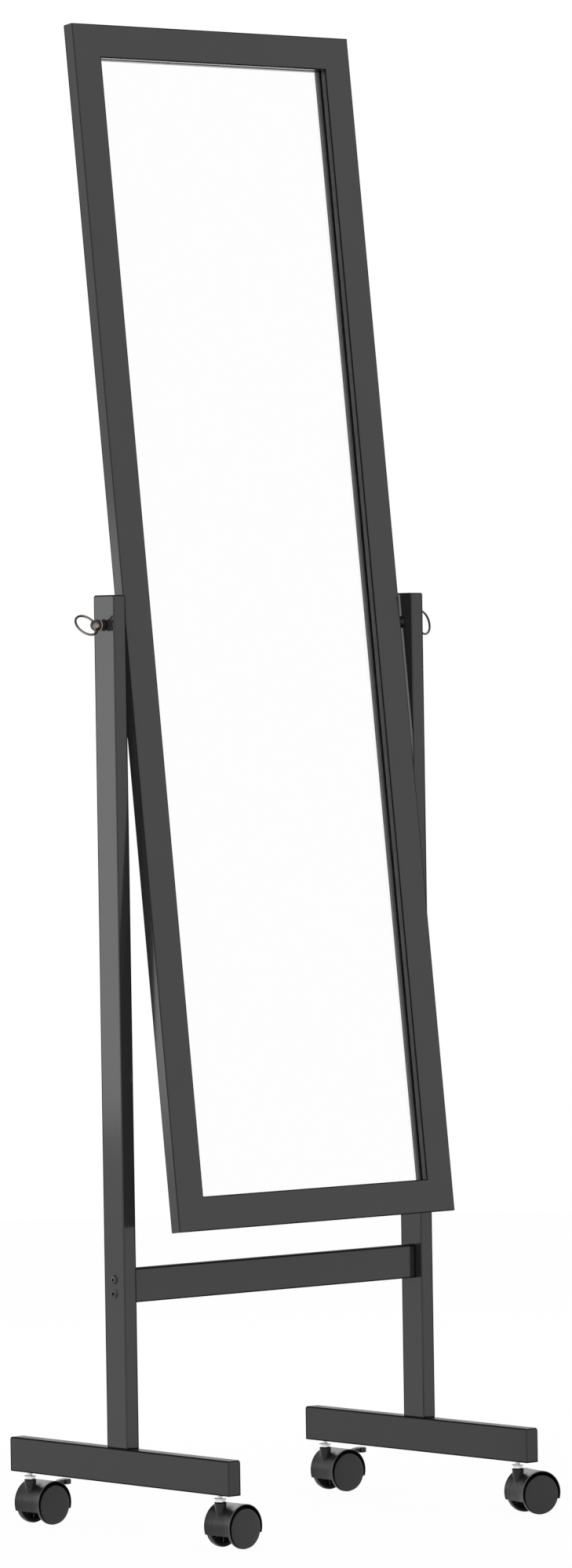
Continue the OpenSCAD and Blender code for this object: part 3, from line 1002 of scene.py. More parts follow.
@dataclass(frozen=True)
class Stand:
    """Uprights, feet and crossbar, with their screws, bushes and spacers.

    Attributes:
        body: The CAD body of the stand.
        arris: How far the eased edges reach.
        rim: How far from a side face's outline an edge still belongs to it.
        screw_r: Radius of the screws' shanks.
        head_r: Radius of the crossbar screws' heads.
        dome_r: Radius of the dome on those heads.
        dome_z: Height of the dome's centre over the upright's face.
        hexagon_r: Radius of the hexagon in those heads.
        screw_len: How deep the crossbar screws go.
        screw_rise: Distance of the crossbar screws from the bar's middle.
        foot_bite: How deep the foot screws go into the upright.
        sunk_r: Radius of the foot screws' heads.
        spacer_r: Radius of the pivot spacers.
        spacer_bore: Radius of the spacers' bores.
        spacer_gap: Room at the end of a spacer.
        groove: Depth of the grooves round the spacers.
    """

    body: str = "stand"
    arris: float = 0.9
    rim: float = 3.1
    screw_r: float = 2.0
    head_r: float = 4.75
    dome_r: float = 7.6
    dome_z: float = -5.4
    hexagon_r: float = 1.75
    screw_len: float = 45.0
    screw_rise: float = 7.0
    foot_bite: float = 28.0
    sunk_r: float = 4.6
    spacer_r: float = 6.0
    spacer_bore: float = 4.56
    spacer_gap: float = 0.3
    groove: float = 0.35

    def build(self) -> None:
        """Builds and dresses every piece of the stand."""
        for side in Side:
            self._upright(side)
            self._foot(side)
            self._crossbar_screws(side)
            self._foot_screws(side)
            self._spacer(side)
            dress_node(f"{side.word}_pivot_bush", BUSH)
        self._crossbar()

    def _side_edges(
        self, side: Side, reach: float, low: float, high: float, keep_low: bool = False
    ) -> EdgeTest:
        """Chooses the outline of a bar's two side faces, but not the holes in them.

        Args:
            side: The bar's side of the stand.
            reach: Half of the bar's depth, front to back.
            low: Height of its lower faces.
            high: Height of its upper faces.
            keep_low: Whether its lower end stays sharp, where it stands on another bar.

        Returns:
            The test of an edge.
        """

        def chosen(edge: bmesh.types.BMEdge) -> bool:
            """True for an edge on the rim of a side face."""
            spots = [v.co for v in edge.verts]
            faces = (SIZE.inner_x, SIZE.outer_x)
            on_side = any(all(abs(side.value * p.x - x) < 0.01 for p in spots) for x in faces)
            ends = (p.z > high - self.rim or p.z < low + self.rim for p in spots)
            deep = [abs(p.y) > reach - self.rim for p in spots]
            on_rim = all(end or far for end, far in zip(ends, deep))
            across = abs(spots[0].y - spots[1].y) > 6 and max(p.z for p in spots) < low + 0.01
            hole = not any(deep) and edge.calc_length() < 1
            kept = hole or across and keep_low
            return on_side and on_rim and not kept and edge.calc_face_angle(0) > 1

        return chosen

    def _wood(self, node: str, finish: Lacquer, chosen: EdgeTest) -> None:
        """Eases a bar's chosen edges and makes it a lacquered piece."""
        shape = Shape.of_node(node).ease(self.arris, chosen)
        shape.piece(f"{node}_wood", self.body, finish, "black_lacquer", [node])

    def _upright(self, side: Side) -> None:
        """An upright, which stands sharp-edged on its foot."""
        node = f"{side.word}_upright"
        reach, low, high = SIZE.upright_d / 2, SIZE.foot_top, SIZE.foot_top + SIZE.upright_len
        middle = (side.value * SIZE.post_x, 0, (low + high) / 2)
        half = (SIZE.post_w / 2, reach, SIZE.upright_len / 2)
        finish = Lacquer(f"lacquer_{node}", middle, half, coat_rough=0.11)
        self._wood(node, finish, self._side_edges(side, reach, low, high, keep_low=True))

    def _foot(self, side: Side) -> None:
        """A foot, whose coat is duller than the uprights'."""
        node = f"{side.word}_foot"
        reach = SIZE.foot_len / 2
        middle = (side.value * SIZE.post_x, 0, SIZE.foot_z + SIZE.foot_h / 2)
        half = (SIZE.post_w / 2, reach, SIZE.foot_h / 2)
        finish = Lacquer(f"lacquer_{node}", middle, half, grain=ALONG_Y, coat_rough=0.26, coat=0.74)
        self._wood(node, finish, self._side_edges(side, reach, SIZE.foot_z, SIZE.foot_top))

    def _crossbar(self) -> None:
        """The crossbar, glossy but for its dusty upper face."""
        middle = (0, 0, SIZE.bar_z + SIZE.bar_h / 2)
        half = (SIZE.inner_x, SIZE.bar_t / 2, SIZE.bar_h / 2)
        finish = Lacquer("lacquer_crossbar", middle, half, grain=ALONG_X, coat_rough=0.09, settled=0.9)
        self._wood("crossbar", finish, lambda e: e.calc_length() > SIZE.inner_x and e.calc_face_angle(0) > 1)

    def _crossbar_screws(self, side: Side) -> None:
        """The two domed screws through an upright into the crossbar."""
        r, head, end = self.screw_r, self.head_r, -self.screw_len
        dome = [(x, math.sqrt(self.dome_r**2 - x * x) + self.dome_z) for x in (4.2, 3.2, 2.2, 1.1, 0.0)]
        shank = [(0, end), (0.4, end), (r, end + 3), (r, 0)]
        screw = Shape().lathe([*shank, (head, 0), (head, 0.35), (head - 0.15, 0.62), *dome], 40)
        screw.cut(Shape().prism(arc((0, 0), self.hexagon_r, 0, 300, 5), 0.9, 4))
        face = at(0, 0, SIZE.bar_z + SIZE.bar_h / 2)
        both = Shape()
        for rise in (-self.screw_rise, self.screw_rise):
            own_turn = Matrix.Rotation(rise, 4, "Z")
            both.merge(screw, face @ at(0, 0, rise) @ along_x(side.value, SIZE.outer_x) @ own_turn)
        node = f"{side.word}_crossbar_screws"
        both.piece(f"{node}_domed", self.body, SCREW_BRONZE, "antique_brass", [node])

    def _foot_screws(self, side: Side) -> None:
        """The two countersunk screws up through a foot into its upright."""
        r, head, end, sunk = self.screw_r, self.sunk_r, SIZE.foot_h + self.foot_bite, 0.02
        outline = [(0, end), (0.4, end), (r, end - 4), (r, 2.6), (head, 0.15), (head - 0.1, sunk), (0, sunk)]
        screw = cross_recess(Shape().lathe(outline, 40), 0, (-2.2, -0.45, -1), (2.2, 0.45, 1.5))
        both = Shape()
        for step in (-SIZE.upright_d / 4, SIZE.upright_d / 4):
            own_turn = Matrix.Rotation(step, 4, "Z")
            both.merge(screw, at(side.value * SIZE.post_x, step, SIZE.foot_z) @ own_turn)
        node = f"{side.word}_foot_screws"
        both.piece(f"{node}_cross_head", self.body, ZINC, "zinc_steel", [node])

    def _spacer(self, side: Side) -> None:
        """The grooved spacer between an upright and the frame."""
        length, bevel = SIZE.side_gap - self.spacer_gap, 0.3
        outer, bore, groove = self.spacer_r, self.spacer_bore, self.spacer_r - self.groove
        outline = [(bore, bevel), (bore + bevel, 0), (outer - bevel, 0), (outer, bevel)]
        for start in (1.2, 2.7, 4.2):
            outline += [(outer, start), (groove, start + 0.25), (groove, start + 0.6), (outer, start + 0.85)]
        outline += [(outer, length - bevel), (outer - bevel, length), (bore + bevel, length)]
        outline += [(bore, length - bevel), (bore, bevel)]
        place = at(0, 0, SIZE.pivot_z) @ along_x(side.value, SIZE.inner_x - length)
        node = f"{side.word}_pivot_spacer"
        Shape().lathe(outline, 56, place).piece(f"{node}_grooved", self.body, SPACER, "zinc_steel", [node])


# ---------- mirror ----------


@dataclass(frozen=True)
class MirrorPanel:
    """Frame, glass and backing, and what holds them together.

    Attributes:
        body: The CAD body of the mirror.
        arris: How far the frame's eased edges reach.
        glass_edge: Room round the glass in its rebate.
        glass_gap: Room between the glass and its backing.
        clip_t: Thickness of a backing clip.
        clip_tip: How far a clip reaches over the backing.
        clip_tail: How far it reaches over the frame.
        clip_half: Half of its width.
        screw_x: Place of a clip's screw, from the rebate's edge.
        screw_r: Radius of that screw.
    """

    body: str = "mirror"
    arris: float = 0.8
    glass_edge: float = 1.0
    glass_gap: float = 0.02
    clip_t: float = 1.0
    clip_tip: float = -8.0
    clip_tail: float = 12.0
    clip_half: float = 4.5
    screw_x: float = 6.0
    screw_r: float = 1.25

    def build(self) -> None:
        """Builds and dresses every piece of the mirror."""
        for node in ("left_stile", "right_stile", "top_rail", "bottom_rail"):
            self._side(node)
        self._glass()
        self._clips()
        dress_node("backing_board", BOARD)
        dress_node("corner_dowels", DOWEL)
        for side in Side:
            dress_node(f"{side.word}_threaded_insert", INSERT)

    def _side(self, node: str) -> None:
        """One of the frame's four sides, with the grain along it."""

        def straight(edge: bmesh.types.BMEdge) -> bool:
            """True for a long arris between two square faces."""
            square = all(max(abs(c) for c in f.normal) > 0.999 for f in edge.link_faces)
            return square and edge.calc_length() > 100 and edge.calc_face_angle(0) > 1

        middle = (0, 0, SIZE.pivot_z)
        half = (SIZE.frame_w / 2, SIZE.frame_t / 2, SIZE.frame_len / 2)
        grain = ALONG_Z if node.endswith("stile") else ALONG_X
        finish = Lacquer(f"lacquer_{node}", middle, half, ring=SIZE.face_w, lean=SIZE.tilt, grain=grain)
        shape = Shape.of_node(node).move(leaning().inverted()).ease(self.arris, straight).move(leaning())
        shape.piece(f"{node}_wood", self.body, finish, "black_lacquer", [node])

    def _glass(self) -> None:
        """The glass, silvered on its back."""
        half_w, half_len = SIZE.rebate_x - self.glass_edge, SIZE.rebate_z - self.glass_edge
        front = SIZE.frame_t / 2 - SIZE.backing_t - SIZE.glass_t
        back = front + SIZE.glass_t - self.glass_gap
        shape = Shape().box((-half_w, front, -half_len), (half_w, back, half_len)).ease_all(0.4, segments=1)
        shape.bm.normal_update()
        for face in shape.bm.faces:
            if face.normal.y > 0.99:
                face.material_index = 1
        shape.move(leaning())
        shape.piece("mirror_plate", self.body, [GLASS, SILVER], "silvered_glass", ["mirror_glass"], sharp=5)

    def _places(self) -> list[Matrix]:
        """Where the backing clips sit: X points out to the frame, Y to the back."""
        places = []
        for spin in (turned(0, "Y"), turned(180, "Y")):
            for step in (-1.5, -0.5, 0.5, 1.5):
                places.append(spin @ at(SIZE.rebate_x, SIZE.frame_t / 2, step * SIZE.frame_len / 4))
            for step in (-0.5, 0.5):
                spot = at(step * SIZE.frame_w / 2, SIZE.frame_t / 2, SIZE.rebate_z)
                places.append(spin @ spot @ turned(-90, "Y"))
        return places

    def _clips(self) -> None:
        """The backing clips, each with a bead on it and a cross-head screw."""
        tip, tail, half, thick = self.clip_tip, self.clip_tail, self.clip_half, self.clip_t
        upper = [(tip, 2), (tip + 1.5, half), (tail - 1.5, half), (tail, half - 1.5)]
        plate = [(x, -y) for x, y in upper] + list(reversed(upper))
        bead = arc((-4.6, 0), 1.6, 270, 90, 8) + arc((0.8, 0), 1.6, 90, -90, 8)
        hole = [(0, -1), (self.screw_r + 0.15, -1), (self.screw_r + 0.15, 3), (0, 3)]
        clip = Shape().prism(plate, 0, thick).ease_all(0.22, 60, 2)
        clip.cut(Shape().lathe(hole, 24, at(self.screw_x, 0, 0)))
        clip.merge(Shape().prism(bead, thick - 0.15, thick + 0.25).ease_all(0.15, 60, 1))
        shank = [(0, -6), (0.3, -6), (self.screw_r, -4.5), (self.screw_r, thick)]
        head = [(2.75, thick), (2.75, 1.5), (2.6, 1.9), (2.2, 2.3), (1.4, 2.55), (0, 2.6)]
        screw = cross_recess(Shape().lathe(shank + head, 28), 20, (-1.5, -0.28, 1.7), (1.5, 0.28, 3))
        clips, screws = Shape(), Shape()
        for number, spot in enumerate(self._places()):
            place = leaning() @ spot @ Y_AXIS
            clips.merge(clip, place)
            own_turn = Matrix.Rotation(number * 1.3, 4, "Z")
            screws.merge(screw, place @ at(self.screw_x, 0, 0) @ own_turn)
        clips.piece("backing_clips_bent", self.body, ZINC, "zinc_steel", ["backing_clips"])
        screws.piece("clip_screws_cross_head", self.body, BRIGHT, "bright_steel", ["clip_screws"])


# ---------- pivot knobs ----------


@dataclass(frozen=True)
class Knob:
    """A knob with its drilled ball, and the pull ring through it.

    Attributes:
        side: The side of the stand that it is on.
        shoulder: Length of its plain shank, through the upright and the spacer.
        thread_len: Length of its thread.
        shank_r: Radius of the plain shank.
        collar_r: Radius of the collar.
        collar_z: Height of the collar's top over the upright's face.
        ball_z: Height of the ball's centre.
        ball_r: Radius of the ball.
        eye_half: Half of the eye's length through the ball.
        ring_r: Radius of the ring, to the middle of its wire.
        wire: Radius of the wire.
    """

    side: Side
    shoulder: float = SIZE.post_w + SIZE.side_gap
    thread_len: float = 14.0
    shank_r: float = 4.5
    collar_r: float = 6.0
    collar_z: float = 1.9
    ball_z: float = 4.3
    ball_r: float = 5.75
    eye_half: float = 6.6
    ring_r: float = 12.1
    wire: float = 1.15

    def build(self) -> None:
        """Builds and dresses the knob and its ring."""
        self._knob()
        self._ring()

    def _knob(self) -> None:
        """The turned knob, with a curved eye through its ball."""
        start, end = -self.shoulder, -self.shoulder - self.thread_len
        shank, collar, root, crest = self.shank_r, self.collar_r, 2.55, 3.0
        outline: list[Point] = [(0, end), (2.2, end), (2.75, end + 0.8)]
        for turn in range(12):
            low = end + 1 + turn
            outline += [(root, low), (crest, low + 0.35), (crest, low + 0.5), (root, low + 0.85)]
        outline += [(root + 0.05, start - 0.4), (shank - 0.4, start), (shank, start + 0.4), (shank, -0.3)]
        outline += [(shank + 0.2, 0.0), (collar - 0.5, 0.0), (collar - 0.1, 0.25), (collar, 0.7)]
        outline += [(collar, 1.15), (collar - 0.2, 1.55), (collar - 0.65, 1.75), (4.95, 1.95)]
        outline += [*arc((0, self.ball_z), self.ball_r, -20, 90, 18)[:-1], (0, self.ball_z + self.ball_r)]
        knob = Shape().lathe(outline, 64)
        # the knob's brass gets a painted highlight on the ball's front-outward side
        knob.cut(self._eye()).move(on_face(self.side)).paint_rub_and_highlight(self._rubbing_and_highlight)
        node = f"{self.side.word}_knob"
        knob.piece(f"{node}_turned", f"knob_{self.side.word}", BRASS, "antique_brass", [node])

    def _eye(self, steps: int = 16) -> Shape:
        """The room of the eye, which follows the ring and widens to its ends."""
        inner = self.ring_r - self.wire - 0.25
        spots = [self.eye_half * (2 * i / steps - 1) for i in range(steps + 1)]
        bore = [(self.ring_r - math.sqrt(inner**2 - s * s), s) for s in spots]
        across = at(0, 0, self.ball_z) @ turned(90, "Y")
        return Shape().lathe([(0, spots[0]), *bore, (0, spots[-1])], 32, across)

    def _rubbing_and_highlight(self, spot: bmesh.types.BMVert) -> float:
        """How bright the knob is painted: all round the rim of its collar, and with a painted highlight on
        the ball where it faces the front and out.
        """
        local = on_face(self.side).inverted() @ spot.co
        in_eye = (local - Vector((0, 0, self.ball_z))).length < self.ball_r - 0.05 and local.z > self.collar_z
        if local.z < 0.1 or in_eye:
            return 0.0
        if local.z < self.collar_z:
            return 1.0 if math.hypot(local.x, local.y) > self.collar_r - 0.3 else 0.1
        return self._highlight_share(spot) - 0.05

    def _highlight_share(self, spot: bmesh.types.BMVert) -> float:
        """Painted highlight: how far a point faces the front and away from the stand, 0 to 1."""
        away = Vector((0.62 * self.side.value, -0.74, -0.25)).normalized()
        return max(0.0, spot.normal.dot(away)) ** 1.7

    def _ring(self) -> None:
        """The pull ring, which swings in the ball's eye."""
        swing = 0 if self.side is Side.LEFT else -15
        section = arc((self.ring_r, 0), self.wire, 0, 360, 20)
        tilt = at(0, 0, self.ball_z) @ turned(swing, "X")
        upright = at(0, 0, self.ring_r) @ turned(90, "X")
        ring = Shape().lathe(section, 96)
        # the ring gets a painted highlight where it faces the front and out; elsewhere it stays dark
        ring.move(on_face(self.side) @ tilt @ upright).paint_rub_and_highlight(self._highlight_share)
        node = f"{self.side.word}_ring"
        ring.piece(f"{node}_wire", f"ring_{self.side.word}", BRASS, "antique_brass", [node])


# ---------- casters ----------


class Zone(IntEnum):
    """A finish's number on a caster's moulding: its body; a painted highlight on a hood's near rim and, on a
    wheel, its tread and ribs; painted shade.
    """

    BODY = 0
    EDGE = 1
    INSIDE = 2


@dataclass(frozen=True)
class Caster:
    """A hooded twin-wheel caster on its threaded stem.

    Attributes:
        corner: Which caster it is.
        lift: Height of the hood's own axis over the axle.
        well_r: Radius of the wells that the wheels turn in.
        mouth: How far the wells open out at their mouths.
        hood_r: Radius of the hood.
        nose_edge: Height of the hood's lower edge at its nose, over the axle.
        rear_edge: Height of that edge at the rear.
        hub_r: Radius of the hood's hub round the axle.
        wheel_out: Distance of a wheel's outer face from the middle.
        axle_half: Half of the axle's length.
        hexagon_r: Radius of the stem's hexagon, to its corners.
        hexagon_h: Height of the hexagon.
        plate_r: Radius of the stem's plate.
        plate_t: Thickness of the plate.
        pitch: Rise of the stem's thread in a turn.
        pin: Place of the brake lever's pin, from the axle.
        lever_end: How far the lever's pad reaches.
        lever_top: Height of the pad's top over the axle.
        pad_len: Length of the pad.
    """

    corner: Corner
    lift: float = 1.4
    well_r: float = 20.9
    mouth: float = 0.8
    hood_r: float = 22.4
    nose_edge: float = -7.2
    rear_edge: float = -4.4
    hub_r: float = 9.0
    wheel_out: float = 18.35
    axle_half: float = 14.85
    hexagon_r: float = 5.25
    hexagon_h: float = 2.4
    plate_r: float = 6.25
    plate_t: float = 1.2
    pitch: float = 0.8
    pin: tuple[float, float, float] = (11.5, 0.0, 15.5)
    lever_end: float = 35.4
    lever_top: float = 22.4
    pad_len: float = 9.0

    @property
    def word(self) -> str:
        """The caster's name."""
        return self.corner.word

    def build(self) -> None:
        """Builds and dresses every piece of the caster."""
        self._hood()
        self._stem()
        for out, label in ((self.corner.end, "outer"), (-self.corner.end, "inner")):
            self._wheel(out, label)
        dress_node(f"{self.word}_socket", ZINC)
        dress_node(f"{self.word}_axle", BRIGHT)
        if self.corner.braked:
            self._lever()
            dress_node(f"{self.word}_brake_pin", BRIGHT)

    def _hood(self) -> None:
        """The hood, turned and cut off below, with its neck and hub."""
        half, web, outer, well = SIZE.caster_w / 2, SIZE.web_w / 2, self.hood_r, self.well_r
        lip = well + self.mouth
        right = [
            (outer, web + 0.6), (outer, half - 1.0), (outer + 0.12, half - 0.7), (outer + 0.1, half - 0.3),
            (outer - 0.2, half - 0.05), (outer - 0.55, half), (lip + 0.1, half), (lip - 0.05, half - 0.15),
            (well, half - 2 * self.mouth), (well, web + 0.8), (well - 0.8, web), (0, web),
        ]
        seam = [(outer, web + 0.2), (outer - 0.22, web), (outer - 0.22, web - 0.2), (outer, web - 0.4)]
        left = [(r, -y) for r, y in reversed(right)]
        shell = Shape().lathe([*left, *reversed(seam), *right], 128, at(0, 0, self.lift) @ Y_AXIS)
        self._trim(shell)
        if self.corner.braked:
            shell.cut(self._brake_room())

        def out(p: Vector) -> float:
            """How far a point lies outside the wells' mouths."""
            return math.hypot(p.x, p.z - self.lift) - lip - 0.05

        # painted shade in the wells and on the far rim; a painted highlight on the near rim
        shell.paint(Zone.INSIDE, lambda p: abs(p.y) > web - 0.01 and out(p) < 0)
        shell.paint(Zone.EDGE, lambda p: p.y < 0.75 - half and out(p) > 0)
        shell.paint(Zone.INSIDE, lambda p: p.y > half - 0.75 and out(p) > 0)
        shell.merge(self._neck(), at(-SIZE.trail, 0, 0))
        hub = self.hub_r
        boss = [(0, -web), (hub - 0.4, -web), (hub, -web + 0.4), (hub, web - 0.4), (hub - 0.4, web), (0, web)]
        shell.lathe(boss, 48, Y_AXIS).move(self.corner.at_axle())
        node = f"{self.word}_hood"
        finishes = [HOOD, RIM_HIGHLIGHT, SHADED]
        shell.piece(f"{node}_shell", f"caster_{self.word}", finishes, "caster_plastic", [node])

    def _trim(self, shell: Shape) -> None:
        """Cuts the hood off below, on a slope from its nose to its rear, and closes it."""
        slope = (self.rear_edge - self.nose_edge) / 2 / (2 * self.hood_r)
        cut = bmesh.ops.bisect_plane(
            shell.bm,
            geom=[*shell.bm.verts, *shell.bm.edges, *shell.bm.faces],
            plane_co=(0, 0, (self.nose_edge + self.rear_edge) / 2),
            plane_no=(-slope, 0, 1),
            clear_inner=True,
        )
        rim = [e for e in cut["geom_cut"] if isinstance(e, bmesh.types.BMEdge)]
        bmesh.ops.contextual_create(shell.bm, geom=rim)
        bmesh.ops.dissolve_degenerate(shell.bm, dist=1e-4, edges=shell.bm.edges)

    def _neck(self) -> Shape:
        """The neck, which narrows down into the hood's front."""
        top = SIZE.neck_z - SIZE.wheel_r
        r, low_r, low, bore = SIZE.neck_d / 2, SIZE.neck_low_d / 2, top - SIZE.stem_in_neck, 2.7
        outline = [(0, -6), (low_r, -6), (low_r, low), (low_r + 0.35, low + 1.8), (low_r + 0.9, low + 4)]
        outline += [(r - 1, top - 9), (r - 0.6, top - 6.5), (r - 0.25, top - 3), (r - 0.05, top - 0.75)]
        outline += [(r, top - 0.5), (r - 0.15, top - 0.15), (r - 0.5, top), (bore + 0.5, top)]
        outline += [(bore, top - 0.4), (bore, low + 0.5), (0, low + 0.5)]
        # painted shade on the neck's top and in its bore
        return Shape().lathe(outline, 56).paint(Zone.INSIDE, lambda p: p.z > top - 0.72)

    def _brake_room(self) -> Shape:
        """The slot that the lever and its bar move in."""
        x, _, z = self.pin
        outline = [(3.0, 12.6), (6.6, 8.4), (x + 0.5, z - 4.9), (x + 4.5, z - 3.9), (24, z - 1.3), (30, 30)]
        return Shape().prism([*outline, (x - 6.5, 30)], -4.2, 4.2, turned(90, "X"))

    def _stem(self) -> None:
        """The stem: a plain end in the neck, then a hexagon, a plate and the thread."""
        r, low = SIZE.stem_d / 2, SIZE.neck_z - SIZE.stem_in_neck
        hex_z = SIZE.neck_z + 0.3
        plate_z = hex_z + self.hexagon_h
        plate_top = plate_z + self.plate_t
        shape = Shape().lathe([(0, low), (1.6, low), (r, low + 1), (r, plate_z), (0, plate_z)], 32)
        hexagon = Shape().prism(arc((0, 0), self.hexagon_r, 0, 300, 5), hex_z, plate_z)
        shape.merge(hexagon.ease_all(0.3, 40, 2))
        edge, flat = self.plate_r, self.plate_r - 0.4
        plate = [(0, plate_z), (flat, plate_z), (edge, plate_z + 0.35), (edge, plate_top - 0.35)]
        shape.lathe([*plate, (flat, plate_top), (0, plate_top)], 48)
        self._thread(shape, plate_z + 0.6)
        top = SIZE.foot_z + 26
        shape.lathe([(2.1, top - 1.2), (1.5, top), (0, top)], 24)
        shape.move(self.corner.at_stem())
        node = f"{self.word}_stem"
        shape.piece(f"{node}_threaded", "stand", PLATED, "bright_steel", [node])

    def _thread(self, shape: Shape, start: float, turns: int = 37, steps: int = 20) -> None:
        """Adds the thread, one tooth wound up the stem.

        Args:
            shape: The stem.
            start: Height of the thread's lower end.
            turns: How often it winds round.
            steps: Faces to a turn.
        """
        crest, root = SIZE.stem_d / 2, SIZE.stem_d / 2 - 0.38
        tooth = [(crest, 0.0), (crest, 0.1), (root, 0.36), (root, 0.5), (crest, self.pitch)]
        before = set(shape.bm.verts)
        line = [shape.bm.verts.new((r, 0, start + h)) for r, h in tooth]
        edges = [shape.bm.edges.new(pair) for pair in zip(line, line[1:])]
        bmesh.ops.spin(
            shape.bm,
            geom=line + edges,
            axis=(0, 0, 1),
            cent=(0, 0, 0),
            dvec=(0, 0, self.pitch / steps),
            angle=math.tau * turns,
            steps=turns * steps,
        )
        thread = [v for v in shape.bm.verts if v not in before]
        bmesh.ops.remove_doubles(shape.bm, verts=thread, dist=0.01)

    def _wheel(self, out: int, label: str) -> None:
        """A wheel: tread, disc and ribs.

        Args:
            out: Side of the caster that it is on, as a sign along the axle.
            label: The wheel's name, as the frame's nodes have it.
        """
        r, face = SIZE.wheel_r, self.wheel_out
        back, floor, disc, ring = face - SIZE.wheel_w, face - 2.3, r - 0.6, r - 4
        bore, hub, hub_face = 2.06, 5.0, SIZE.web_w / 2 + 0.3
        cap = self.axle_half + 0.3
        outline = [
            (0, cap), (bore, cap), (bore, hub_face), (hub, hub_face), (hub, floor - 0.3), (hub + 0.5, floor),
            (ring - 0.4, floor), (ring, floor - 0.4), (ring, back + 0.2), (ring + 0.2, back), (r - 1.2, back),
            (r - 0.35, back + 0.35), (r, back + 1.2), (r, face - 2.6), (r - 0.1, face - 2.3),
            (r - 0.3, face - 2.15), (disc, face - 2.1), *arc((disc - 0.7, face - 0.65), 0.7, 0, 80, 5),
            (r * 0.7, face + 0.3), (r * 0.35, face + 0.46), (0, face + 0.5),
        ]
        wheel = Shape().lathe(outline, 96)

        def spread(p: Vector) -> float:
            """A point's distance from the axle."""
            return math.hypot(p.x, p.y)

        wheel.paint(Zone.EDGE, lambda p: spread(p) > disc + 0.02)
        # painted shade inside the wheel, on the step round its disc and on the disc's edge
        wheel.paint(Zone.INSIDE, lambda p: spread(p) < r - 1.0 and p.z < face - 2.2)
        wheel.paint(Zone.INSIDE, lambda p: p.z > face - 2.65 and spread(p) > disc + 0.02)
        wheel.paint(Zone.INSIDE, lambda p: face - 2.2 < p.z < face - 0.6 and spread(p) > disc - 0.2)
        for number in range(8):
            rib = Shape().box((hub - 0.2, -0.5, floor - 1.9), (ring + 0.2, 0.5, floor + 0.1))
            rib.ease_all(0.15, 60, 1).paint(Zone.EDGE, lambda p: True)
            wheel.merge(rib, turned(number * 45, "Z"))
        flip = Matrix.Identity(4) if out > 0 else Matrix.Scale(-1, 4, (0, 1, 0))
        wheel.move(self.corner.at_axle() @ flip @ Y_AXIS)
        node = f"{self.word}_{label}_wheel"
        finishes = [WHEEL, TREAD, SHADED]
        wheel.piece(f"{node}_tread", f"wheel_{self.word}_{label}", finishes, "wheel_nylon", [node])

    def _lever(self) -> None:
        """The brake lever: an arm on its pin, a ribbed pad, and the bar that stops the wheels."""
        x, _, z = self.pin
        r, top, under = SIZE.wheel_r, self.lever_top, self.lever_top - 4.4
        near = self.lever_end - self.pad_len
        arm = [
            (4.6, 12.9), (7.2, 9.9), (x + 2.4, z - 2.4), (r + 1.5, under), (near + 1, under),
            (near + 1, top - 0.4), (r + 2.5, top - 0.4), (r - 0.5, top - 2), (x - 2.6, z + 2.2),
        ]
        half, eye = 3.8, 3.4
        lever = Shape().prism(arm, -half, half, turned(90, "X")).ease_all(0.5, 20, 2)
        flat, rim = eye - 0.3, half - 0.3
        hub = [(0, -half), (flat, -half), (eye, -rim), (eye, rim), (flat, half), (0, half)]
        lever.lathe(hub, 32, at(*self.pin) @ Y_AXIS)
        round_r, mid = 3.5, self.pad_len - 3.5
        pad = [(0, -5.5), *arc((mid, -2), round_r, -90, 0, 6), *arc((mid, 2), round_r, 0, 90, 6), (0, 5.5)]
        lever.merge(Shape().prism(pad, top - 5.5, top, at(near, 0, 0)).ease_all(1.3, 60, 4))
        for rib in (2.2, 4.2, 6.2):
            grip = Shape().box((rib, -3.4, top - 0.4), (rib + 0.8, 3.4, top), at(near, 0, 0))
            lever.merge(grip.ease_all(0.2, 60, 1))
        reach = self.axle_half - 1.2
        bar = [(0, -reach), (1.2, -reach), (1.5, 0.3 - reach), (1.5, reach - 0.3), (1.2, reach), (0, reach)]
        lever.lathe(bar, 24, at(6, 0, 11.5) @ Y_AXIS).move(self.corner.at_axle())
        node = f"{self.word}_brake_lever"
        lever.piece(f"{node}_moulded", f"brake_{self.word}", LEVER, "caster_plastic", [node])


# ---------- studio ----------


@dataclass(frozen=True)
class Panel:
    """A soft lamp.

    Attributes:
        name: Its name.
        place: Where it stands.
        target: What it points at.
        width: Its width.
        height: Its height.
        level: Its brightness, 1 being as bright as white.
        mirrored: Whether glossy surfaces show it.
    """

    name: str
    place: tuple[float, float, float]
    target: tuple[float, float, float]
    width: float
    height: float
    level: float
    mirrored: bool = True

    def build(self) -> None:
        """Puts the lamp in the scene."""
        data = bpy.data.lights.new(self.name, "AREA")
        data.shape, data.size, data.size_y = "RECTANGLE", self.width, self.height
        data.energy = self.level * math.pi * self.width * self.height
        lamp = bpy.data.objects.new(self.name, data)
        lamp.location = self.place
        aim = Vector(self.target) - Vector(self.place)
        lamp.rotation_euler = aim.to_track_quat("-Z", "Y").to_euler()
        lamp.visible_glossy = self.mirrored
        bpy.context.scene.collection.objects.link(lamp)
        LOG.info("lamp %s", self.name)


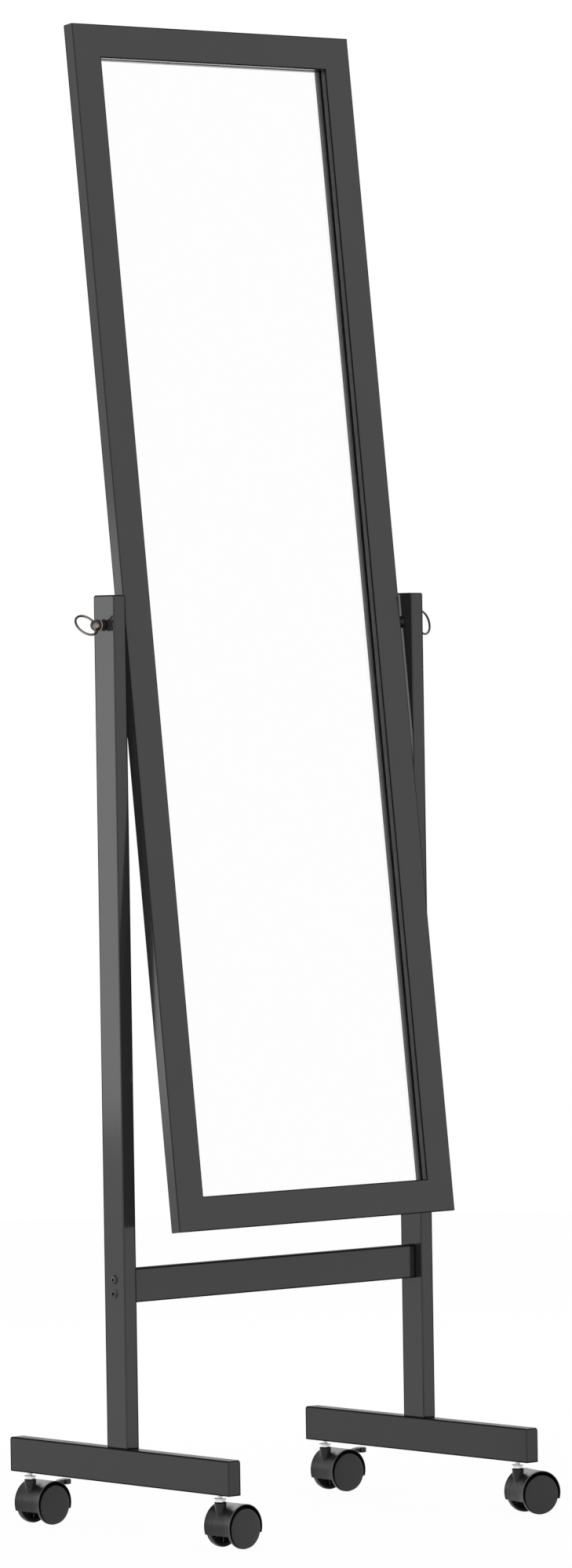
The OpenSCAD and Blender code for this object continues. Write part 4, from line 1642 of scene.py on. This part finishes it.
@dataclass(frozen=True)
class Studio:
    """White studio: floor, surroundings, lamps and camera.

    Attributes:
        fill: Brightness of the surroundings as a light.
        lamps: The soft lamps, their places and sides in metres.
        turn: The camera's yaw, pitch and roll, in degrees.
        eye: Where the camera stands, in metres.
        focal_px: Focal length, in pixels of the photograph.
        photo_px: Height of the photograph, in pixels.
        sensor: Size of the camera's sensor, in millimetres.
    """

    fill: float = 0.80
    lamps: tuple[Panel, ...] = (
        Panel("back_left", (-1.95, 1.95, 0.64), (-0.2, 0.0, 0.6), 2.3, 0.8, 1.35),
        Panel("back_high", (0.95, 1.75, 1.25), (0.0, 0.0, 0.2), 2.0, 0.9, 1.7),
        Panel("overhead", (-0.6, -0.8, 3.4), (0.0, 0.0, 0.6), 2.4, 2.4, 0.8, False),
    )
    turn: tuple[float, float, float] = (40.46001, 0.94655, -0.90143)
    eye: tuple[float, float, float] = (-4.674516, -5.515289, 0.856752)
    focal_px: float = 9214.5
    photo_px: float = 2000.0
    sensor: float = 36.0

    def build(self) -> None:
        """Builds the floor, the surroundings, the lamps and the camera."""
        self._floor()
        self._world()
        for lamp in self.lamps:
            lamp.build()
        self._camera()
        bpy.context.scene.view_settings.view_transform = "Standard"

    @staticmethod
    def _seen(graph: Graph) -> Socket:
        """1 for what the camera sees, straight or by reflection and through glass."""
        path = graph.node("ShaderNodeLightPath", {}).out.node.outputs
        camera, glossy, through = (
            Socket(graph, path[f"Is {kind} Ray"]) for kind in ("Camera", "Glossy", "Transmission")
        )
        return (camera + glossy + through).least(1.0)

    def _floor(self) -> None:
        """A pale floor that keeps a faint shadow of the mirror."""
        shape = Shape()
        bmesh.ops.create_circle(shape.bm, cap_ends=True, radius=4000, segments=96)
        mesh = shape.mesh()
        mesh.transform(Matrix.Scale(MM, 4))
        material = bpy.data.materials.new("studio_floor")
        material.use_nodes = True
        graph = Graph(material.node_tree)
        tone = graph.blend(graph.noise(graph.place(), 160, 3.0), grey(0.86), grey(0.90))
        matt = graph.node("ShaderNodeBsdfDiffuse", {"Color": tone})
        glow = graph.node("ShaderNodeEmission", {"Color": grey(1.0), "Strength": 1.0})
        mixed = graph.node("ShaderNodeMixShader", {0: self._seen(graph) * 0.96, 1: matt, 2: glow})
        graph.node("ShaderNodeOutputMaterial", {"Surface": mixed})
        mesh.materials.append(material)
        floor = bpy.data.objects.new("studio_floor", mesh)
        bpy.context.scene.collection.objects.link(floor)
        LOG.info("floor")

    def _world(self) -> None:
        """White surroundings, which light the scene a little less than they look."""
        world = bpy.data.worlds.new("studio")
        world.use_nodes = True
        bpy.context.scene.world = world
        graph = Graph(world.node_tree)
        soft = graph.node("ShaderNodeBackground", {"Color": grey(1.0), "Strength": self.fill})
        white = graph.node("ShaderNodeBackground", {"Color": grey(1.0), "Strength": 1.0})
        mixed = graph.node("ShaderNodeMixShader", {0: self._seen(graph), 1: soft, 2: white})
        graph.node("ShaderNodeOutputWorld", {"Surface": mixed})

    def _camera(self) -> None:
        """The camera, where the photograph was taken from."""
        yaw, pitch, roll = (math.radians(a) for a in self.turn)
        ahead = Vector((math.sin(yaw) * math.cos(pitch), math.cos(yaw) * math.cos(pitch), -math.sin(pitch)))
        right = Vector((math.cos(yaw), -math.sin(yaw), 0))
        up = right.cross(ahead)
        across = math.cos(roll) * right + math.sin(roll) * up
        above = -math.sin(roll) * right + math.cos(roll) * up
        data = bpy.data.cameras.new("camera")
        data.sensor_fit, data.sensor_width = "AUTO", self.sensor
        data.lens = self.focal_px / self.photo_px * self.sensor
        data.clip_end = 100.0
        camera = bpy.data.objects.new("camera", data)
        camera.matrix_world = at(*self.eye) @ Matrix((across, above, -ahead)).transposed().to_4x4()
        bpy.context.scene.collection.objects.link(camera)
        bpy.context.scene.camera = camera
        LOG.info("camera")


def main() -> None:
    """Builds every sub-assembly and the studio."""
    logging.basicConfig(level=logging.INFO, format="%(name)s: %(message)s")
    Stand().build()
    MirrorPanel().build()
    for side in Side:
        Knob(side).build()
    for corner in Corner:
        Caster(corner).build()
    Studio().build()


if __name__ == "__main__":
    main()
